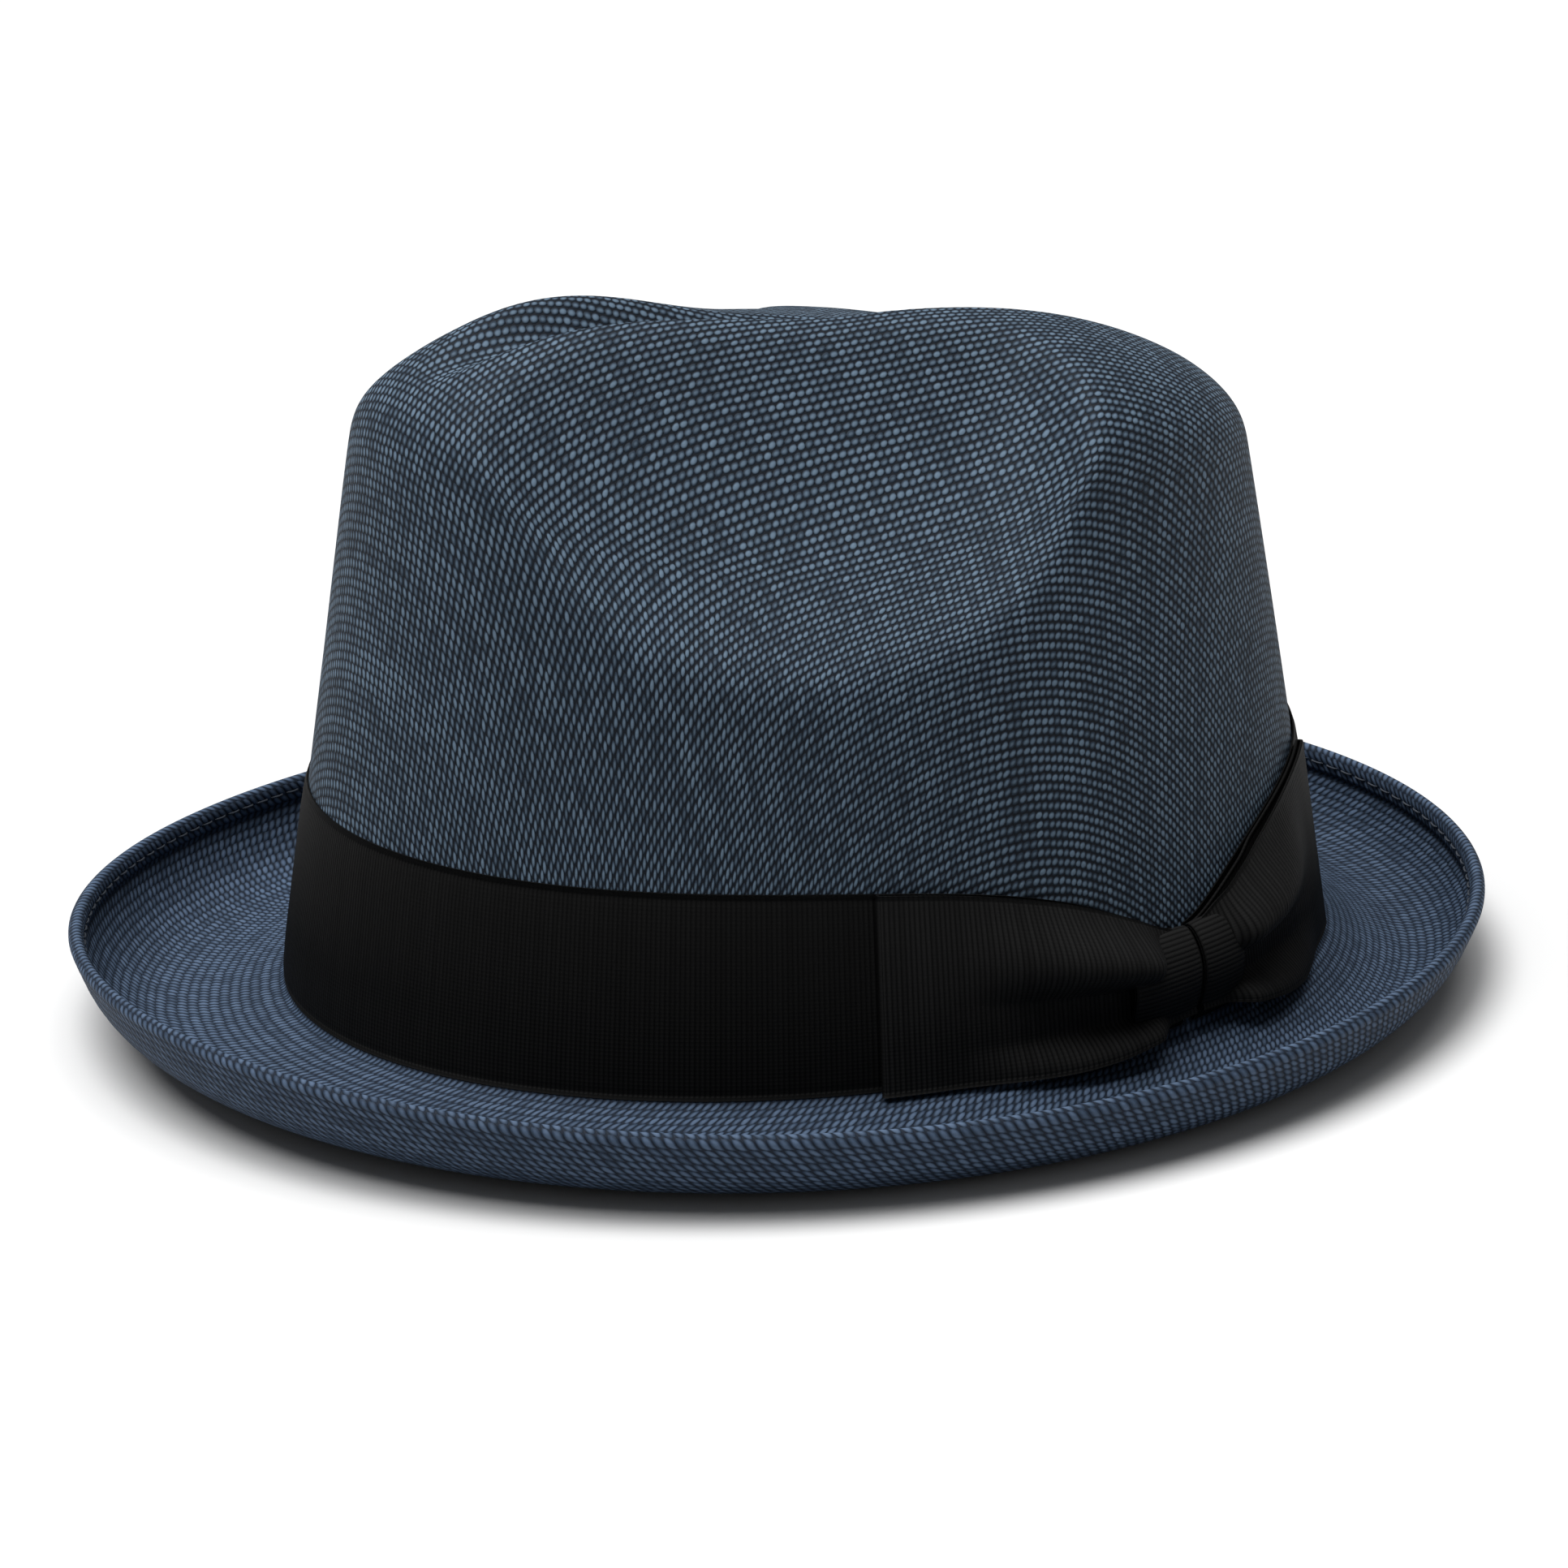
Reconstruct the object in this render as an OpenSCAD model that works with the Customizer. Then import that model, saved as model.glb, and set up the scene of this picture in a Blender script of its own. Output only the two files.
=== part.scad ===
// Short-brimmed fedora of woven paper straw: pinched crown, rolled wired
// brim edge, sewn-in sweatband, ribbon band and a flat side bow.
// Millimetres.  +Z up, front of the hat towards -Y, wearer's left is +X.
// The hat stands on the lowest ring of its brim, which is at z = 0.

/* [Crown] */
// Half the width of the crown at the break line, over the straw
crown_half_w = 84.5; // [78:0.5:92]
// Half the length of the crown at the break line, over the straw
crown_half_l = 103.5; // [96:0.5:112]
// Height of the straight side wall before it rounds over
wall_h = 104.4; // [92:0.4:112]
// Height of the rounded top above the side wall
dome_h = 26.4; // [22:0.2:31]
// How far the wall leans in for each millimetre of height
wall_taper = 0.14; // [0.08:0.01:0.18]
// Squareness of the rounded top, 2 is a plain ellipse
dome_power = 2.8; // [2.4:0.1:3.1]
// How fast the top falls away towards the back
back_fall = 0.0025; // [0.0015:0.0001:0.0032]
// How much the top rises towards the front
front_rise = 5.7; // [2:0.1:8]
// How much lower the right ridge lies than the left one
ridge_lean = 15; // [8:0.5:17]
// Thickness of the woven straw
straw_t = 1; // [0.9:0.1:1.4]

/* [Pinch and crease] */
// Height at which the side pinch starts on the wall
pinch_z = 74.2; // [66:0.2:82]
// Direction of the pinch, in degrees round from the front
pinch_turn = 72; // [64:1:78]
// Slope of the pinch floor in degrees
pinch_slope = 36; // [33:0.5:40]
// Half the width of the pinch where its sides begin to climb
pinch_half_w = 45.3; // [41:0.1:50]
// How far the pinch centre sits in front of its direction line
pinch_ahead = 15.4; // [9:0.2:19]
// Slope of the ridge flank above the pinch floor in degrees
flank_slope = 56.5; // [51:0.5:61]
// Distance of the ridge flank from the middle of the crown
flank_reach = 25.5; // [19:0.5:29]
// Depth of the crease along the top
crease_depth = 12; // [8:0.5:15]
// Half the width of the crease at its back end
crease_half_w = 24; // [16:1:30]

/* [Brim] */
// How far the brim edge lies outside the foot of the crown at each side
brim_side = 37.5; // [30:0.5:45.5]
// How far the brim edge lies outside the foot of the crown at front and back
brim_end = 35.8; // [29:0.1:44]
// How far the crown sits behind the middle of the brim
crown_back = 4.9; // [2:0.1:7]
// Drop of the brim below the break line
brim_drop = 5.5; // [3.5:0.5:7.5]
// Radius of the upward curl of the brim
curl_r = 15; // [12:0.5:18]
// Straight rim above the curl
upstand = 4.4; // [3.4:0.2:6]
// How much higher the brim edge lies at the front than at the sides
front_lift = 5.5; // [2:0.5:8]
// How much higher the brim edge lies at the back than at the sides
back_lift = 1.5; // [0:0.5:4]

/* [Brim edge] */
// Diameter of the steel wire rolled into the brim edge
wire_d = 0.8; // [0.6:0.1:1]
// Room left round the wire inside the roll
wire_room = 0.12; // [0.08:0.02:0.2]
// Length of the straw turned in below the roll
turn_in = 3; // [2:0.2:3.2]
// Diameter of the sewing thread
thread_d = 0.4; // [0.3:0.05:0.5]

/* [Sweatband] */
// Height of the sweatband above the break line
sweat_h = 34; // [28:1:38]
// Thickness of the sweatband cloth
sweat_t = 0.6; // [0.5:0.05:0.8]
// Diameter of the plastic reed in the sweatband hem
reed_d = 1.2; // [1:0.1:1.4]
// Gap between sewn layers so that they do not touch
layer_gap = 0.12; // [0.08:0.02:0.16]
// Width of the tape over the back join
tape_w = 13; // [9:1:18]

/* [Ribbon and bow] */
// Height of the ribbon band
band_h = 38.5; // [35:0.5:42]
// Height of the lower edge of the band above the break line
band_lift = 2; // [1.8:0.1:3]
// Thickness of the ribbon
ribbon_t = 0.55; // [0.4:0.05:0.65]
// Place of the knot, in degrees behind the wearer's left side
knot_turn = 20; // [10:0.5:26]
// How far the gathers pull the top edge down at the knot
gather_dip = 28; // [22:0.5:30]
// How quickly the gathers spread out, in degrees
gather_spread = 15; // [12:0.5:18]
// Length of each wing of the bow, in degrees round the crown
wing_turn = 37; // [30:0.5:42]
// Width of the front turn of the knot, in degrees round the crown
knot_front_strip = 9.3; // [7.5:0.1:10]
// Width of the rear turn of the knot, in degrees round the crown
knot_rear_strip = 6.6; // [6:0.1:8.5]
// Height that each wing stands off the band at its fullest
wing_puff = 3; // [1.5:0.1:4]

/* [Build] */
// Sub-part to draw

/* [Hidden] */

// Steps round the hat, rows on the crown and sides on round cords
round_steps = 72;
step = 360 / round_steps;
wall_rows = 8;
dome_rows = 15;
cord_sides = 6;

// Break line fillet and the stand of the hat above the floor
fillet_r = 2.4;
fillet_turn = 66;
stand = brim_drop + straw_t / 2;
crown_h = wall_h + dome_h;
brim_half_w = crown_half_w + brim_side;
brim_half_l = crown_half_l + brim_end;

// Shape constants of the top, as parts of the crown length or height
crease_front = -0.773 * crown_half_l;
crease_back = 0.70 * crown_half_l;
crease_tip_w = 6.5;
crease_bias = 0.9;
crease_widen = 1.25;
fall_start = 3.3;
front_run = 60;
lean_start = 65;
lean_run = 96;
lean_soft = 12;
pinch_climb = 1.2;
climb_soft = 10;
pinch_floor_z = 50;
pinch_floor_run = 15;
push_turn = 68;
push_slope = 42;
valley_soft = 8;
edge_soft = 3.6;
flank_turn = 80;

// Room left under the sweatband thread
thread_gap = 0.02;

// Roll round the wire
roll_r = wire_d / 2 + wire_room + straw_t / 2;
curl_turn = 66;
roll_turn = 180;
hem_thin = 0.5;
hem_press = 2 * roll_r - straw_t * (1 + hem_thin) / 2 - wire_room;

// Layers of the band and bow, measured out from the straw wall
band_in = layer_gap;
band_out = band_in + ribbon_t;
knot_back = band_out + layer_gap + ribbon_t / 2;
wing_under = knot_back;
wing_under_knot = knot_back + ribbon_t + layer_gap;
wing_over_knot = wing_under_knot + ribbon_t + layer_gap;
knot_front = wing_over_knot + ribbon_t + layer_gap;
fold_r = ribbon_t * 0.9;

// The dip of the gathers is rounded over this many degrees
gather_round = 5;

// Each turn of the knot stands this many degrees from the knot's middle, and
// each wing half a degree.  The wings are pressed flat from tuck_start on,
// as a share of their length from the fold.
knot_gap = 0.3;
wing_gap = 0.5;
tuck_start = 0.6;
tuck_run = 0.12;
mm_per_degree = crown_half_l * PI / 180;

// ---------------------------------------------------------------- helpers

function unit(v) = v / max(norm(v), 1e-9);
function lerp(a, b, k) = a + (b - a) * k;
function clamp01(k) = min(1, max(0, k));
function smooth(k) = pow(clamp01(k), 2) * (3 - 2 * clamp01(k));
function soft_min(a, b, w) = (a + b - sqrt((a - b) * (a - b) + w * w)) / 2;
function soft_up(a, w) = (a + sqrt(a * a + w * w)) / 2;
// Left-hand normal of a flat path at point i
function path_normal(p, i) =
  let (d = unit(p[min(i + 1, len(p) - 1)] - p[max(i - 1, 0)])) [-d.y, d.x];

// Solid between two equal grids of points.  A closed one joins its last
// column to its first.
module slab(front, back, closed = false) {
  n = len(front);
  m = len(front[0]);
  last = closed ? n - 1 : n - 2;
  at = function(s, i, j) s * n * m + (i % n) * m + j;
  pts = [for (g = [front, back]) for (col = g) for (p = col) p];
  skin = [for (i = [0 : last]) for (j = [0 : m - 2]) each [
    [at(0, i, j), at(0, i + 1, j), at(0, i + 1, j + 1)],
    [at(0, i, j), at(0, i + 1, j + 1), at(0, i, j + 1)],
    [at(1, i, j), at(1, i + 1, j + 1), at(1, i + 1, j)],
    [at(1, i, j), at(1, i, j + 1), at(1, i + 1, j + 1)]
  ]];
  rims = [for (i = [0 : last]) each [
    [at(0, i, 0), at(1, i, 0), at(1, i + 1, 0)],
    [at(0, i, 0), at(1, i + 1, 0), at(0, i + 1, 0)],
    [at(0, i, m - 1), at(1, i + 1, m - 1), at(1, i, m - 1)],
    [at(0, i, m - 1), at(0, i + 1, m - 1), at(1, i + 1, m - 1)]
  ]];
  ends = closed ? [] : [for (j = [0 : m - 2]) each [
    [at(0, 0, j), at(0, 0, j + 1), at(1, 0, j + 1)],
    [at(0, 0, j), at(1, 0, j + 1), at(1, 0, j)],
    [at(0, n - 1, j), at(1, n - 1, j + 1), at(0, n - 1, j + 1)],
    [at(0, n - 1, j), at(1, n - 1, j), at(1, n - 1, j + 1)]
  ]];
  polyhedron(points = pts, faces = concat(skin, rims, ends), convexity = 10);
}

// Round cord through a list of centre points.  Each section is laid out
// across the vertical plane of its own point.
module cord(centres, outs, r, closed = true) {
  n = len(centres);
  m = cord_sides;
  last = closed ? n - 1 : n - 2;
  pts = [for (i = [0 : n - 1]) for (j = [0 : m - 1])
    centres[i] + r * (cos(j * 360 / m) * outs[i] + sin(j * 360 / m) * [0, 0, 1])];
  at = function(i, j) (i % n) * m + (j % m);
  skin = [for (i = [0 : last]) for (j = [0 : m - 1]) each [
    [at(i, j), at(i, j + 1), at(i + 1, j + 1)],
    [at(i, j), at(i + 1, j + 1), at(i + 1, j)]
  ]];
  ends = closed ? [] : [
    [for (j = [m - 1 : -1 : 0]) at(0, j)],
    [for (j = [0 : m - 1]) at(n - 1, j)]
  ];
  polyhedron(points = pts, faces = concat(skin, ends), convexity = 10);
}

// ------------------------------------------------------- shape of the hat

// Point on the straw wall at turn t and height z, moved out by off
function wall(t, z, off = 0) = [
  (crown_half_w - wall_taper * z + off) * cos(t),
  (crown_half_l - wall_taper * z + off) * sin(t) + crown_back,
  z + stand
];

// Distance of the wall from the crown axis, square on to direction turn
function wall_reach(turn, z) = norm([
  (crown_half_w - wall_taper * z) * sin(turn),
  (crown_half_l - wall_taper * z) * cos(turn)
]);

// Outward direction made of a turn from the front and a lean from upright
function facing(side, turn, lean) =
  [side * sin(turn) * sin(lean), -cos(turn) * sin(lean), cos(lean)];

// Uncreased crown: t round the hat, ring 0 at the wall foot, 1 at the tip
function open_crown(t, row) =
  let (
    dome = row > wall_rows,
    b = dome ? 90 * (row - wall_rows) / (dome_rows + 0.4) : 0,
    c = pow(cos(b), 2 / dome_power),
    zz = dome ? wall_h + dome_h * pow(sin(b), 2 / dome_power)
              : lerp(fillet_r, wall_h, pow(row / wall_rows, 0.75)),
    x = (crown_half_w - wall_taper * zz) * c * cos(t),
    y = (crown_half_l - wall_taper * zz) * c * sin(t)
  )
  top_form([x, y, zz]);

// Back fall, front rise and lean of the ridges, stronger towards the top
function top_form(p) =
  let (
    k = p.z / crown_h,
    fall = back_fall * pow(max(p.y - fall_start, 0), 2) * pow(k, 2),
    right = 0.5 - 0.5 * p.x / norm([p.x, lean_soft]),
    lean = ridge_lean * right * smooth((p.y + lean_start) / lean_run) * pow(k, 4),
    rise = front_rise * smooth(-p.y / front_run) * pow(k, 4)
  )
  [p.x, p.y, p.z - fall - lean + rise];

// Depth of the long crease below the top
function crease(p) =
  let (
    u = clamp01((p.y - crease_front) / (crease_back - crease_front)),
    w = crease_tip_w + (crease_half_w - crease_tip_w) * sin(90 * min(u * crease_widen, 1)),
    b = max(1 - pow(p.x / w, 2), 0)
  )
  crease_depth * sin(180 * pow(u, crease_bias)) * pow(b, 2);

// How far the pinch on one side pushes a crown point in
function pinch(p, side) =
  let (
    floor_n = facing(side, pinch_turn, pinch_slope),
    flank_n = facing(side, flank_turn, flank_slope),
    push = facing(side, push_turn, push_slope),
    floor_c = sin(pinch_slope) * wall_reach(pinch_turn, pinch_z)
            + cos(pinch_slope) * pinch_z,
    flank_c = sin(flank_slope) * flank_reach + cos(flank_slope) * (crown_h - 2),
    across = side * p.x * cos(pinch_turn) + p.y * sin(pinch_turn) + pinch_ahead,
    climb = pinch_climb * soft_up(abs(across) - pinch_half_w, climb_soft),
    f = (p * floor_n - floor_c - climb) / (floor_n * push),
    g = (p * flank_n - flank_c) / (flank_n * push),
    reach = clamp01((p.z - pinch_floor_z) / pinch_floor_run)
  )
  push * soft_up(soft_min(f, g, valley_soft), edge_soft) * reach;

// Finished outside of the crown
function crown_point(t, row) =
  let (
    p = open_crown(t, row),
    deep = row > wall_rows ? clamp01((row - wall_rows) / 3) : 0,
    q = p - pinch(p, 1) - pinch(p, -1) - [0, 0, crease(p) * deep]
  )
  q + [0, crown_back, stand];

// Flat section of the brim as distance out from the break line and height:
// where the curl starts, where the upstand ends and where the wire lies
function bend_point(span) = [
  span - curl_r * sin(curl_turn) - upstand * cos(curl_turn)
    - roll_r * (1 - sin(curl_turn)) - straw_t / 2,
  -brim_drop
];
function edge_point(span) = bend_point(span)
  + curl_r * [sin(curl_turn), 1 - cos(curl_turn)]
  + upstand * [cos(curl_turn), sin(curl_turn)];
function wire_point(span) = edge_point(span) + roll_r * [-sin(curl_turn), cos(curl_turn)];

// Middle line of the straw from the wall foot to the turned-in edge
function brim_section(span) =
  let (
    start = [-straw_t / 2, fillet_r],
    bow = function(k) start + fillet_r * [1 - cos(fillet_turn * k), -sin(fillet_turn * k)],
    foot = bow(1),
    bend = bend_point(span),
    hub = wire_point(span),
    roll = function(k) hub + roll_r * [cos(curl_turn - 90 + roll_turn * k),
                                       sin(curl_turn - 90 + roll_turn * k)]
  )
  concat(
    [for (k = [0.35, 0.7, 1]) bow(k)],
    [for (k = [0.25, 0.5, 0.75]) [lerp(foot.x, bend.x, k), lerp(foot.y, bend.y, sin(90 * k))]],
    [for (k = [0 : 4]) bend + curl_r * [sin(curl_turn * k / 4), 1 - cos(curl_turn * k / 4)]],
    [for (k = [0 : 4]) roll(k / 4)],
    [roll(1) - turn_in * [cos(curl_turn), sin(curl_turn)]
      + hem_press * [sin(curl_turn), -cos(curl_turn)]]
  );

// Half the thickness of the straw at point j of that line, pressed thin at
// the turned-in edge
function straw_half(s, j) = straw_t / 2 * (j == len(s) - 1 ? hem_thin : 1);

// Break line and brim edge at turn t, and the way out between them
function foot_at(t) = [crown_half_w * cos(t), crown_half_l * sin(t) + crown_back, stand];
function edge_at(t) = [brim_half_w * cos(t), brim_half_l * sin(t), stand];
function out_at(t) = unit(edge_at(t) - foot_at(t));
function span_at(t) = norm(edge_at(t) - foot_at(t));

// Lift of the brim at turn t and distance x out, full at the edge
function end_lift(t, x) =
  lerp(front_lift, back_lift, (1 + sin(t)) / 2) * pow(sin(t), 2) * pow(clamp01(x / span_at(t)), 1.5);
function place(t, p) = foot_at(t) + p.x * out_at(t) + [0, 0, p.y + end_lift(t, p.x)];

// Turns round the whole hat, and an open run with a small gap at the back
all_turns = [for (i = [0 : round_steps - 1]) i * step];
function open_turns(gap) = concat(
  [90 + gap], [for (i = [1 : round_steps - 1]) 90 + i * step], [450 - gap]
);
function turns_between(a, b, n) = [for (i = [0 : n]) lerp(a, b, i / n)];

// Height of the top edge of the band and bow at turn t
function turn_from_knot(t) = abs(((t - knot_turn + 540) % 360) - 180);
function band_top(t) =
  band_lift + band_h - gather_dip * exp(-norm([turn_from_knot(t), gather_round]) / gather_spread);

// ------------------------------------------------------------- sub-parts

// Crown and brim, woven in one piece and rolled at the edge
module straw_body() {
  rows = wall_rows + dome_rows;
  out = [for (t = all_turns) [for (r = [rows : -1 : 0]) crown_point(t, r)]];
  n = len(out);
  inner = [for (i = [0 : n - 1]) [for (j = [0 : rows])
    let (
      round = out[(i + 1) % n][j] - out[(i + n - 1) % n][j],
      down = out[i][min(j + 1, rows)] - out[i][max(j - 1, 0)]
    )
    out[i][j] - straw_t * unit(cross(down, round))]];
  brim_out = [for (t = all_turns)
    let (s = brim_section(span_at(t)))
    [for (j = [0 : len(s) - 1]) place(t, s[j] + straw_half(s, j) * path_normal(s, j))]];
  brim_in = [for (t = all_turns)
    let (s = brim_section(span_at(t)))
    [for (j = [0 : len(s) - 1]) place(t, s[j] - straw_half(s, j) * path_normal(s, j))]];
  loop = [for (i = [0 : n - 1]) concat(
    out[i], brim_out[i],
    [for (j = [len(brim_in[i]) - 1 : -1 : 0]) brim_in[i][j]],
    [for (j = [rows : -1 : 0]) inner[i][j]]
  )];
  m = len(loop[0]);
  tip = [for (k = [0, 1]) let (j = k * (m - 1))
    [for (a = [0 : 2]) mean([for (i = [0 : n - 1]) loop[i][j][a]])]];
  at = function(i, j) (i % n) * m + j;
  color("SlateGray") polyhedron(
    points = concat([for (col = loop) for (p = col) p], tip),
    faces = concat(
      [for (i = [0 : n - 1]) for (j = [0 : m - 2]) each [
        [at(i, j), at(i + 1, j), at(i + 1, j + 1)],
        [at(i, j), at(i + 1, j + 1), at(i, j + 1)]
      ]],
      [for (i = [0 : n - 1]) [n * m, at(i + 1, 0), at(i, 0)]],
      [for (i = [0 : n - 1]) [n * m + 1, at(i, m - 1), at(i + 1, m - 1)]]
    ),
    convexity = 10
  );
}
function mean(v) = v * [for (x = v) 1] / len(v);

// Spring wire that holds the brim edge in shape, welded into a ring
module brim_wire() {
  color("Silver") cord(
    [for (t = all_turns) place(t, wire_point(span_at(t)))],
    [for (t = all_turns) out_at(t)], wire_d / 2
  );
}

// Thread that sews the rolled edge down, on the side facing the crown
module hem_stitching() {
  color("DarkSlateGray") cord(
    [for (t = all_turns)
      let (
        s = brim_section(span_at(t)),
        j = len(s) - 1,
        mid = (s[j] + s[j - 1]) / 2
      )
      place(t, mid - (straw_t / 2 + thread_d / 2) * path_normal(s, j))],
    [for (t = all_turns) out_at(t)], thread_d / 2
  );
}

// Section of the sweatband as inset from the straw and height, from its
// top edge down and round the reed
outer_leg = layer_gap + sweat_t / 2;
hem_turn_r = sweat_t / 2 + layer_gap + reed_d / 2;
inner_leg = outer_leg + 2 * hem_turn_r;
reed_z = fillet_r + 1.6;
// The band leaves the straw at bend_z, stands clear of it at clear_z and
// its turned-up end reaches end_z.  It eases off the straw by sweat_ease at
// sweat_mid of its height.
bend_z = 11;
clear_z = 6;
end_z = 7.5;
sweat_ease = 0.3;
sweat_mid = 0.62;
bend_leg = lerp(outer_leg, inner_leg, 0.8);
function sweat_section() = concat(
  [[outer_leg, sweat_h], [outer_leg + sweat_ease, sweat_h * sweat_mid], [bend_leg, bend_z]],
  [[inner_leg, clear_z]],
  [for (a = [0 : 45 : 180]) [outer_leg + hem_turn_r + hem_turn_r * cos(a),
                             reed_z - hem_turn_r * sin(a)]],
  [[outer_leg, end_z]]
);
// The tape starts above the bend and ends below the top edge of the band
tape_rise = 1.5;
tape_drop = 1;
function inside(t, p) = wall(t, p.y, -straw_t - p.x);

// Band of cloth that sits against the head, its lower hem round the reed
module sweatband() {
  s = sweat_section();
  turns = open_turns(0.17);
  color("Black") slab(
    [for (t = turns) [for (j = [0 : len(s) - 1]) inside(t, s[j] + sweat_t / 2 * path_normal(s, j))]],
    [for (t = turns) [for (j = [0 : len(s) - 1]) inside(t, s[j] - sweat_t / 2 * path_normal(s, j))]]
  );
}

// Plastic reed that stiffens the sweatband hem, its ends meeting at the back
module sweatband_reed() {
  turns = open_turns(0.4);
  color("WhiteSmoke") cord(
    [for (t = turns) inside(t, [outer_leg + hem_turn_r, reed_z])],
    [for (t = turns) [cos(t), sin(t), 0]], reed_d / 2, closed = false
  );
}

// Thread line that joins the sweatband hem to the straw
module sweatband_stitching() {
  s = sweat_section();
  mid = (s[2] + s[3]) / 2;
  color("DimGray") cord(
    [for (t = all_turns) inside(t, mid + [sweat_t / 2 + thread_d / 2 + thread_gap, 0])],
    [for (t = all_turns) [cos(t), sin(t), 0]], thread_d / 2
  );
}

// Tape over the join of the sweatband at the back
module sweatband_seam_tape() {
  half = tape_w / 2 / crown_half_w * 180 / PI;
  turns = turns_between(90 - half, 90 + half, 4);
  clear = sweat_t / 2 + layer_gap;
  rise = [for (k = [0 : 5]) let (z = lerp(bend_z + tape_rise, sweat_h - tape_drop, k / 5))
    [lookup(z, [[bend_z, bend_leg], [sweat_h * sweat_mid, outer_leg + sweat_ease],
                [sweat_h, outer_leg]]), z]];
  color("Black") slab(
    [for (t = turns) [for (p = rise) inside(t, p + [clear, 0])]],
    [for (t = turns) [for (p = rise) inside(t, p + [clear + sweat_t, 0])]]
  );
}

// Ribbon round the crown, its two ends gathered under the knot
module ribbon_band() {
  turns = [for (i = [0 : round_steps]) let (a = (i - round_steps / 2) * step)
    knot_turn + 180 + a * (1 - 0.9 / 180)];
  levels = [for (k = [0 : 4]) k / 4];
  face = function(off) [for (t = turns) [for (k = levels)
    wall(t, lerp(band_lift, band_top(t), k), off)]];
  color("#151515") slab(face(band_in), face(band_out));
}

// Height of the wing's lower and upper edges over those of the band, and
// of the knot's edges outside the wings' edges
wing_low = 0.4;
wing_high = 0.2;
knot_under = 0.8;
knot_over = 1.1;

// One wing: the ribbon runs out from the knot against the band, turns over
// at its folded end and comes back over the top
module wing(dir) {
  root = knot_turn + dir * wing_gap;
  len_mm = wing_turn * mm_per_degree;
  // Swell of the top layer, nothing at the fold and where it is pressed flat,
  // edge_puff of the full swell along its two edges
  edge_puff = 0.55;
  flat_from = tuck_start + tuck_run;
  puff = function(u, v) wing_puff * pow(sin(180 * pow(clamp01(u / flat_from), 0.8)), 1.2)
                        * lerp(edge_puff, 1, sin(180 * v));
  // u runs from 0 at the fold to 1 at the knot
  tuck = function(u) clamp01((u - tuck_start) / tuck_run);
  lift_in = function(u) lerp(wing_under, wing_under_knot, tuck(u));
  lift_out = function(u) lerp(wing_under + 2 * fold_r, wing_over_knot, tuck(u));
  path = function(v) concat(
    [for (i = [0 : 8]) let (u = lerp(1, fold_r / len_mm, i / 8)) [u * len_mm, lift_in(u)]],
    [for (a = [45, 90, 135]) [fold_r - fold_r * sin(a), wing_under + fold_r - fold_r * cos(a)]],
    [for (i = [0 : 11]) let (u = lerp(fold_r / len_mm, 1, i / 11))
      [u * len_mm, lift_out(u) + (u < flat_from ? puff(u, v) : 0)]]
  );
  sheet = function(side) [for (i = [0 : len(path(0)) - 1]) [for (k = [0 : 6])
    let (
      v = k / 6,
      p = path(v),
      q = p[i] + side * ribbon_t / 2 * path_normal(p, i)
    )
    wing_point(root, dir, q, v)]];
  color("#1c1c1c") if (dir > 0) slab(sheet(1), sheet(-1)); else slab(sheet(-1), sheet(1));
}
function wing_point(root, dir, q, v) =
  let (
    t = root + dir * (wing_turn - q.x / mm_per_degree),
    low = band_lift + wing_low,
    high = band_top(t) + wing_high
  )
  wall(t, lerp(low, high, v), q.y);

module bow_front_wing() {
  wing(-1);
}

module bow_rear_wing() {
  wing(1);
}

// One turn of the knot, a closed loop of ribbon round the gathered wings
module knot_loop(from, width) {
  low = band_lift + wing_low - knot_under;
  high = band_top(knot_turn) + wing_high + knot_over;
  mid = (low + high) / 2;
  half = (high - low) / 2;
  depth_mid = (knot_back + knot_front) / 2;
  depth_half = (knot_front - knot_back) / 2;
  squareness = 0.25;
  swell = 0.6;
  ring = function(grow) [for (i = [0 : 23]) let (a = i * 15)
    [mid + (half + grow) * sgn(cos(a)) * pow(abs(cos(a)), squareness),
     depth_mid + (depth_half + grow) * sgn(sin(a)) * pow(abs(sin(a)), squareness)
       + swell * max(sin(a), 0)]];
  turns = turns_between(from, from + width, 3);
  face = function(grow) [for (p = ring(grow)) [for (t = turns) wall(t, p[0], p[1])]];
  color("#262626") slab(face(ribbon_t / 2), face(-ribbon_t / 2), closed = true);
}
function sgn(x) = x < 0 ? -1 : 1;

module bow_knot_front_turn() {
  knot_loop(knot_turn - knot_gap - knot_front_strip, knot_front_strip);
}

module bow_knot_rear_turn() {
  knot_loop(knot_turn + knot_gap, knot_rear_strip);
}

straw_body();
brim_wire();
hem_stitching();
sweatband();
sweatband_reed();
sweatband_stitching();
sweatband_seam_tape();
ribbon_band();
bow_front_wing();
bow_rear_wing();
bow_knot_front_turn();
bow_knot_rear_turn();
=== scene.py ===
import math

import bpy
import numpy as np
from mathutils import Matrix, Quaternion, Vector


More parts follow.
